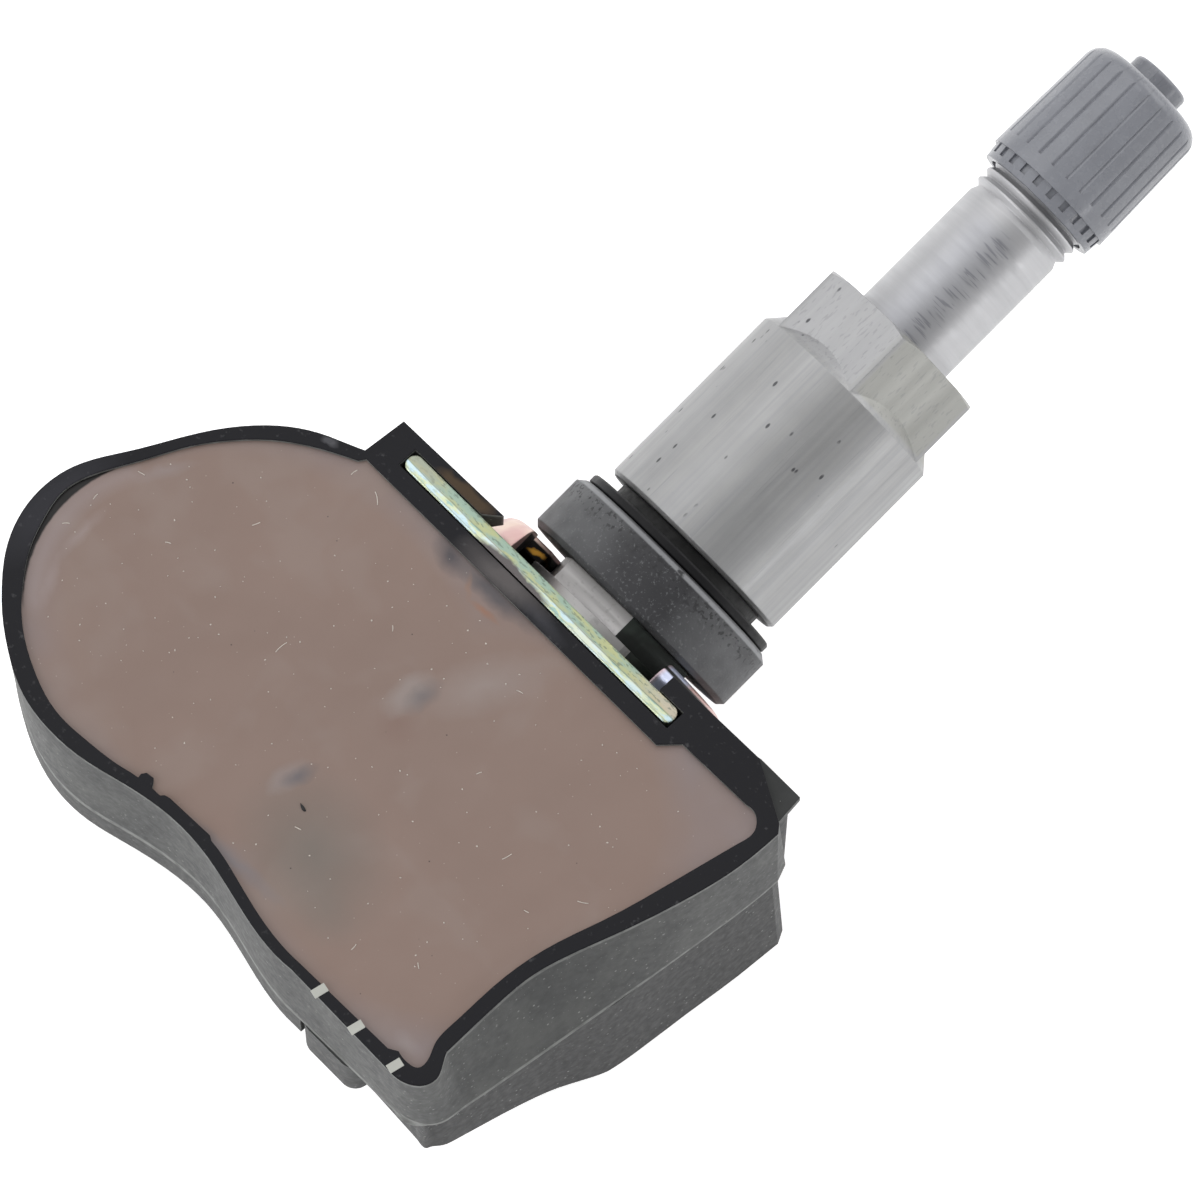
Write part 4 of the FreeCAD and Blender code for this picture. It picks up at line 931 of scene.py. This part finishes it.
@dataclass
class Studio:
    """The white studio: world, lamps and floor; the world's reflections hold a soft dark zone round the
    lens.
    """

    camera: PhotoCamera
    lamps: tuple[Lamp, ...] = (
        Lamp("key", (-420, 260, 620), 800, 800, 2.1),
        Lamp("fill", (-180, -560, 330), 420, 300, 1.2),
        Lamp("back", (120, 620, 260), 500, 300, 0.9),
        Lamp("end_edge", (620, 120, 150), 420, 60, 0.5),
        Lamp("back_edge", (-140, -620, 150), 420, 60, 0.5),
    )
    world_light: float = 0.5
    shade_centre: Colour = (0.539, -0.197, 0.819)
    floor_z: float = -13.35
    floor_glow: float = 0.72
    stage: list[bpy.types.Object] = field(default_factory=list)

    def build(self) -> None:
        """Create everything round the part."""
        self.camera.add()
        for lamp in self.lamps:
            lamp.add()
        self.add_world()
        self.add_floor()
        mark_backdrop(*self.stage)

    def add_world(self) -> None:
        """Make the world white to the camera, and to reflections too but for a soft dark zone."""
        world = bpy.data.worlds.new("studio")
        bpy.context.scene.world = world
        world.use_nodes = True
        tree = world.node_tree
        tree.nodes.clear()
        output = tree.nodes.new("ShaderNodeOutputWorld")
        light = tree.nodes.new("ShaderNodeBackground")
        light.inputs["Strength"].default_value = self.world_light
        shine = tree.nodes.new("ShaderNodeBackground")
        coordinates = tree.nodes.new("ShaderNodeTexCoord")
        dot = tree.nodes.new("ShaderNodeVectorMath")
        dot.operation = "DOT_PRODUCT"
        tree.links.new(coordinates.outputs["Generated"], dot.inputs[0])
        dot.inputs[1].default_value = self.shade_centre
        dark = tree.nodes.new("ShaderNodeMapRange")
        tree.links.new(dot.outputs["Value"], dark.inputs["Value"])
        for name, number in (("From Min", 0.5), ("From Max", 0.97), ("To Min", 0.95), ("To Max", 0.45)):
            dark.inputs[name].default_value = number
        tree.links.new(dark.outputs["Result"], shine.inputs["Strength"])
        white = tree.nodes.new("ShaderNodeBackground")
        rays = tree.nodes.new("ShaderNodeLightPath")
        glossy = tree.nodes.new("ShaderNodeMixShader")
        tree.links.new(rays.outputs["Is Glossy Ray"], glossy.inputs["Fac"])
        tree.links.new(light.outputs["Background"], glossy.inputs[1])
        tree.links.new(shine.outputs["Background"], glossy.inputs[2])
        clear = tree.nodes.new("ShaderNodeMixShader")
        seen = tree.nodes.new("ShaderNodeMath")
        seen.operation = "MAXIMUM"
        tree.links.new(rays.outputs["Is Camera Ray"], seen.inputs[0])
        tree.links.new(rays.outputs["Is Transmission Ray"], seen.inputs[1])
        tree.links.new(seen.outputs["Value"], clear.inputs["Fac"])
        tree.links.new(glossy.outputs["Shader"], clear.inputs[1])
        tree.links.new(white.outputs["Background"], clear.inputs[2])
        white.inputs["Color"].default_value = (1, 1, 1, 1)
        shine.inputs["Color"].default_value = (1, 1, 1, 1)
        light.inputs["Color"].default_value = (1, 1, 1, 1)
        tree.links.new(clear.outputs["Shader"], output.inputs["Surface"])

    def add_floor(self) -> None:
        """Lay the white floor, which keeps a faint shadow."""
        mesh = bpy.data.meshes.new("floor")
        shape = bmesh.new()
        bmesh.ops.create_grid(shape, x_segments=8, y_segments=8, size=1.5)
        for vertex in shape.verts:
            vertex.co.z = (self.floor_z - 0.01) * MM
        shape.to_mesh(mesh)
        shape.free()
        floor = bpy.data.objects.new("floor", mesh)
        bpy.context.scene.collection.objects.link(floor)
        material = bpy.data.materials.new("floor_white")
        material.use_nodes = True
        tree = material.node_tree
        tree.nodes.clear()
        output = tree.nodes.new("ShaderNodeOutputMaterial")
        matt = tree.nodes.new("ShaderNodeBsdfDiffuse")
        matt.inputs["Color"].default_value = (0.9, 0.9, 0.9, 1)
        glow = tree.nodes.new("ShaderNodeEmission")
        rays = tree.nodes.new("ShaderNodeLightPath")
        seen = tree.nodes.new("ShaderNodeMath")
        seen.operation = "MAXIMUM"
        tree.links.new(rays.outputs["Is Camera Ray"], seen.inputs[0])
        tree.links.new(rays.outputs["Is Glossy Ray"], seen.inputs[1])
        strength = tree.nodes.new("ShaderNodeMath")
        strength.operation = "MULTIPLY"
        tree.links.new(seen.outputs["Value"], strength.inputs[0])
        strength.inputs[1].default_value = self.floor_glow
        tree.links.new(strength.outputs["Value"], glow.inputs["Strength"])
        both = tree.nodes.new("ShaderNodeAddShader")
        tree.links.new(matt.outputs["BSDF"], both.inputs[0])
        tree.links.new(glow.outputs["Emission"], both.inputs[1])
        tree.links.new(both.outputs["Shader"], output.inputs["Surface"])
        mesh.materials.append(material)
        self.stage.append(floor)


class Piece:
    """A small surface piece that rides on one body of the part."""

    def __init__(self, name: str, body: str, material: bpy.types.Material) -> None:
        """Start an empty piece.

        Args:
            name: Piece name.
            body: The body that it rides on.
            material: Its material.
        """
        self.name = name
        self.body = body
        self.material = material
        self.shape = bmesh.new()

    def finish(self, smooth: bool = True) -> None:
        """Turn the shape into an object and let it ride.

        Args:
            smooth: Whether its faces are shaded smooth.
        """
        mesh = bpy.data.meshes.new(self.name)
        bmesh.ops.scale(self.shape, vec=(MM, MM, MM), verts=self.shape.verts)
        bmesh.ops.recalc_face_normals(self.shape, faces=self.shape.faces)
        for face in self.shape.faces:
            face.smooth = smooth
        self.shape.to_mesh(mesh)
        self.shape.free()
        mesh.materials.append(self.material)
        piece = bpy.data.objects.new(self.name, mesh)
        bpy.context.scene.collection.objects.link(piece)
        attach(piece, self.body)


class RimMarks(Piece):
    """The three pale strips across the back rim."""

    PLACES: tuple[tuple[float, float], ...] = ((6.2, -36.84), (9.47, -36.83), (12.9, -36.8))
    SIZE: Colour = (0.6, 0.98, 0.06)
    SLANT = math.radians(-12)
    EDGE = 0.012

    def build(self) -> None:
        """Add one thin pad at each place."""
        for x, y in self.PLACES:
            made = bmesh.ops.create_cube(self.shape, size=1.0)["verts"]
            bmesh.ops.scale(self.shape, vec=self.SIZE, verts=made)
            bmesh.ops.rotate(self.shape, matrix=Matrix.Rotation(self.SLANT, 3, "Z"), verts=made)
            bmesh.ops.translate(self.shape, vec=(x, y, TOP_Z), verts=made)
            sides = list({edge for corner in made for edge in corner.link_edges})
            bmesh.ops.bevel(self.shape, geom=sides, offset=self.EDGE, segments=2, profile=0.5,
                            affect="EDGES", material=-1)
        self.finish(smooth=False)


class Dust(Piece):
    """Pale specks and short fibres that lie on the potting."""

    FIBRES: tuple[tuple[float, float, float, float], ...] = (
        (-11.7, -23.6, 0.95, 100), (-18.8, -18.9, 0.55, 60), (-14.3, -12.3, 0.9, 130),
        (-16.9, -12.1, 0.5, 95), (0.6, -14.5, 0.45, 30), (7.9, -22.8, 0.7, 70), (13.1, -21.3, 0.7, 20),
        (11.2, -24.1, 0.35, 10), (5.6, -33.6, 0.5, 80), (-2.6, -30.6, 0.45, 20), (9.4, -31.4, 0.4, 150),
        (-21.8, -23.6, 0.4, 45), (2.8, -20.1, 0.35, 75), (-7.6, -17.4, 0.4, 120),
        (-27.2, -27.4, 0.5, 60), (-27.0, -24.9, 0.45, 110), (-26.4, -21.6, 0.5, 20),
    )
    FIBRE_R = 0.03
    FIBRE_STEPS = 5
    UNEVEN = (0.75, 1.15)
    FLECK: tuple[float, float, float] = (-3.13, -29.39, 165.0)
    FLECK_SEED = 3

    def build(self, places: Sequence[tuple[float, float]], height: float, seed: int) -> None:
        """Scatter grains and lay the fibres.

        Args:
            places: Middle of each grain.
            height: Height that they lie on.
            seed: Seed of the scatter.
        """
        chance = random.Random(seed)
        for x, y in places:
            self.add_grain(x, y, height, chance.uniform(0.035, 0.085), chance.uniform(0.5, 0.9),
                           chance.uniform(0.0, math.pi), chance)
        for x, y, length, turn in self.FIBRES:
            self.add_fibre(x, y, height, length, math.radians(turn), chance.uniform(-0.6, 0.6))
        self.finish()

    def build_fleck(self, height: float) -> None:
        """Lay the one dark fleck.

        Args:
            height: Height that it lies on.
        """
        x, y, turn = self.FLECK
        self.add_grain(x, y, height, 0.34, 0.42, math.radians(turn), random.Random(self.FLECK_SEED))
        self.finish()

    def add_grain(self, x: float, y: float, height: float, size: float, share: float,
                  turn: float, chance: random.Random) -> None:
        """Add one flat, uneven grain.

        Args:
            x: Place.
            y: Place.
            height: Height.
            size: Radius along the grain.
            share: Width as a share of its length.
            turn: Turn in radians.
            chance: Draws how uneven it is.
        """
        made = bmesh.ops.create_icosphere(self.shape, subdivisions=1, radius=size)["verts"]
        for corner in made:
            corner.co *= chance.uniform(*self.UNEVEN)
        bmesh.ops.scale(self.shape, vec=(1.0, share, 0.3), verts=made)
        bmesh.ops.rotate(self.shape, matrix=Matrix.Rotation(turn, 3, "Z"), verts=made)
        bmesh.ops.translate(self.shape, vec=(x, y, height + 0.01), verts=made)

    def add_fibre(self, x: float, y: float, height: float, length: float, turn: float,
                  bend: float) -> None:
        """Add one short curved fibre, drawn out of a small disc.

        Args:
            x: Place of its start.
            y: Place of its start.
            height: Height.
            length: Length.
            turn: Direction in radians.
            bend: How far it turns along its length, in radians.
        """
        made = bmesh.ops.create_circle(self.shape, cap_ends=True, radius=self.FIBRE_R, segments=6)["verts"]
        upright = Matrix.Rotation(turn, 3, "Z") @ Matrix.Rotation(math.pi / 2, 3, "Y")
        bmesh.ops.rotate(self.shape, matrix=upright, verts=made)
        bmesh.ops.translate(self.shape, vec=(x, y, height + 0.01), verts=made)
        end = made[0].link_faces[0]
        for step in range(self.FIBRE_STEPS):
            angle = turn + bend * (step + 0.5) / self.FIBRE_STEPS
            ahead = Vector((math.cos(angle), math.sin(angle), 0.0)) * (length / self.FIBRE_STEPS)
            grown = bmesh.ops.extrude_face_region(self.shape, geom=[end])["geom"]
            ring = [part for part in grown if isinstance(part, bmesh.types.BMVert)]
            end = next(part for part in grown if isinstance(part, bmesh.types.BMFace))
            bmesh.ops.translate(self.shape, vec=ahead, verts=ring)
            bmesh.ops.rotate(self.shape, cent=end.calc_center_median(), verts=ring,
                             matrix=Matrix.Rotation(bend / self.FIBRE_STEPS, 3, "Z"))


def dust_places(seed: int, count: int) -> list[tuple[float, float]]:
    """Return places on the potting, kept off its rim.

    Args:
        seed: Seed of the scatter.
        count: How many places.

    Returns:
        The places.
    """
    chance = random.Random(seed)
    places = []
    while len(places) < count:
        x, y = chance.uniform(-27, 16), chance.uniform(-34.5, -12.5)
        inside_left = math.hypot((x + 12) / 15.5, (y + 24.5) / 11.5) < 1
        if x > -10 or inside_left:
            if x < 13 + 0.17 * (y + 34):
                places.append((x, y))
    return places


class SensorScene:
    """The whole dressed part."""

    def __init__(self) -> None:
        """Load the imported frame."""
        self.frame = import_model()
        self.frame_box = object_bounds()

    def dress_nodes(self) -> None:
        """Give each carried-over node its material."""
        for name, build in MATERIALS.items():
            node = self.frame["nodes"].get(name)
            if node is None:
                LOG.warning("no node %s", name)
                continue
            material = build()
            node.data.materials.clear()
            node.data.materials.append(material)

    def add_pieces(self) -> None:
        """Add the fine pieces."""
        RimMarks("rim_marks", "sensor", plain_material(MARK)).build()
        Dust("potting_dust", "sensor", plain_material(SPECK)).build(dust_places(7, 150), 7.4, 11)
        Dust("dark_fleck", "sensor", plain_material(PIT)).build_fleck(7.4)

    def save_sizes(self) -> None:
        """Bring the view layer up to date."""
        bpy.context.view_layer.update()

    def build(self) -> None:
        """Build the scene in order."""
        bpy.context.scene.view_settings.view_transform = "Standard"
        self.dress_nodes()
        self.add_pieces()
        Studio(PhotoCamera()).build()
        self.save_sizes()


def main() -> None:
    """Build the scene."""
    logging.basicConfig(level=logging.INFO)
    SensorScene().build()


if __name__ == "__main__":
    main()
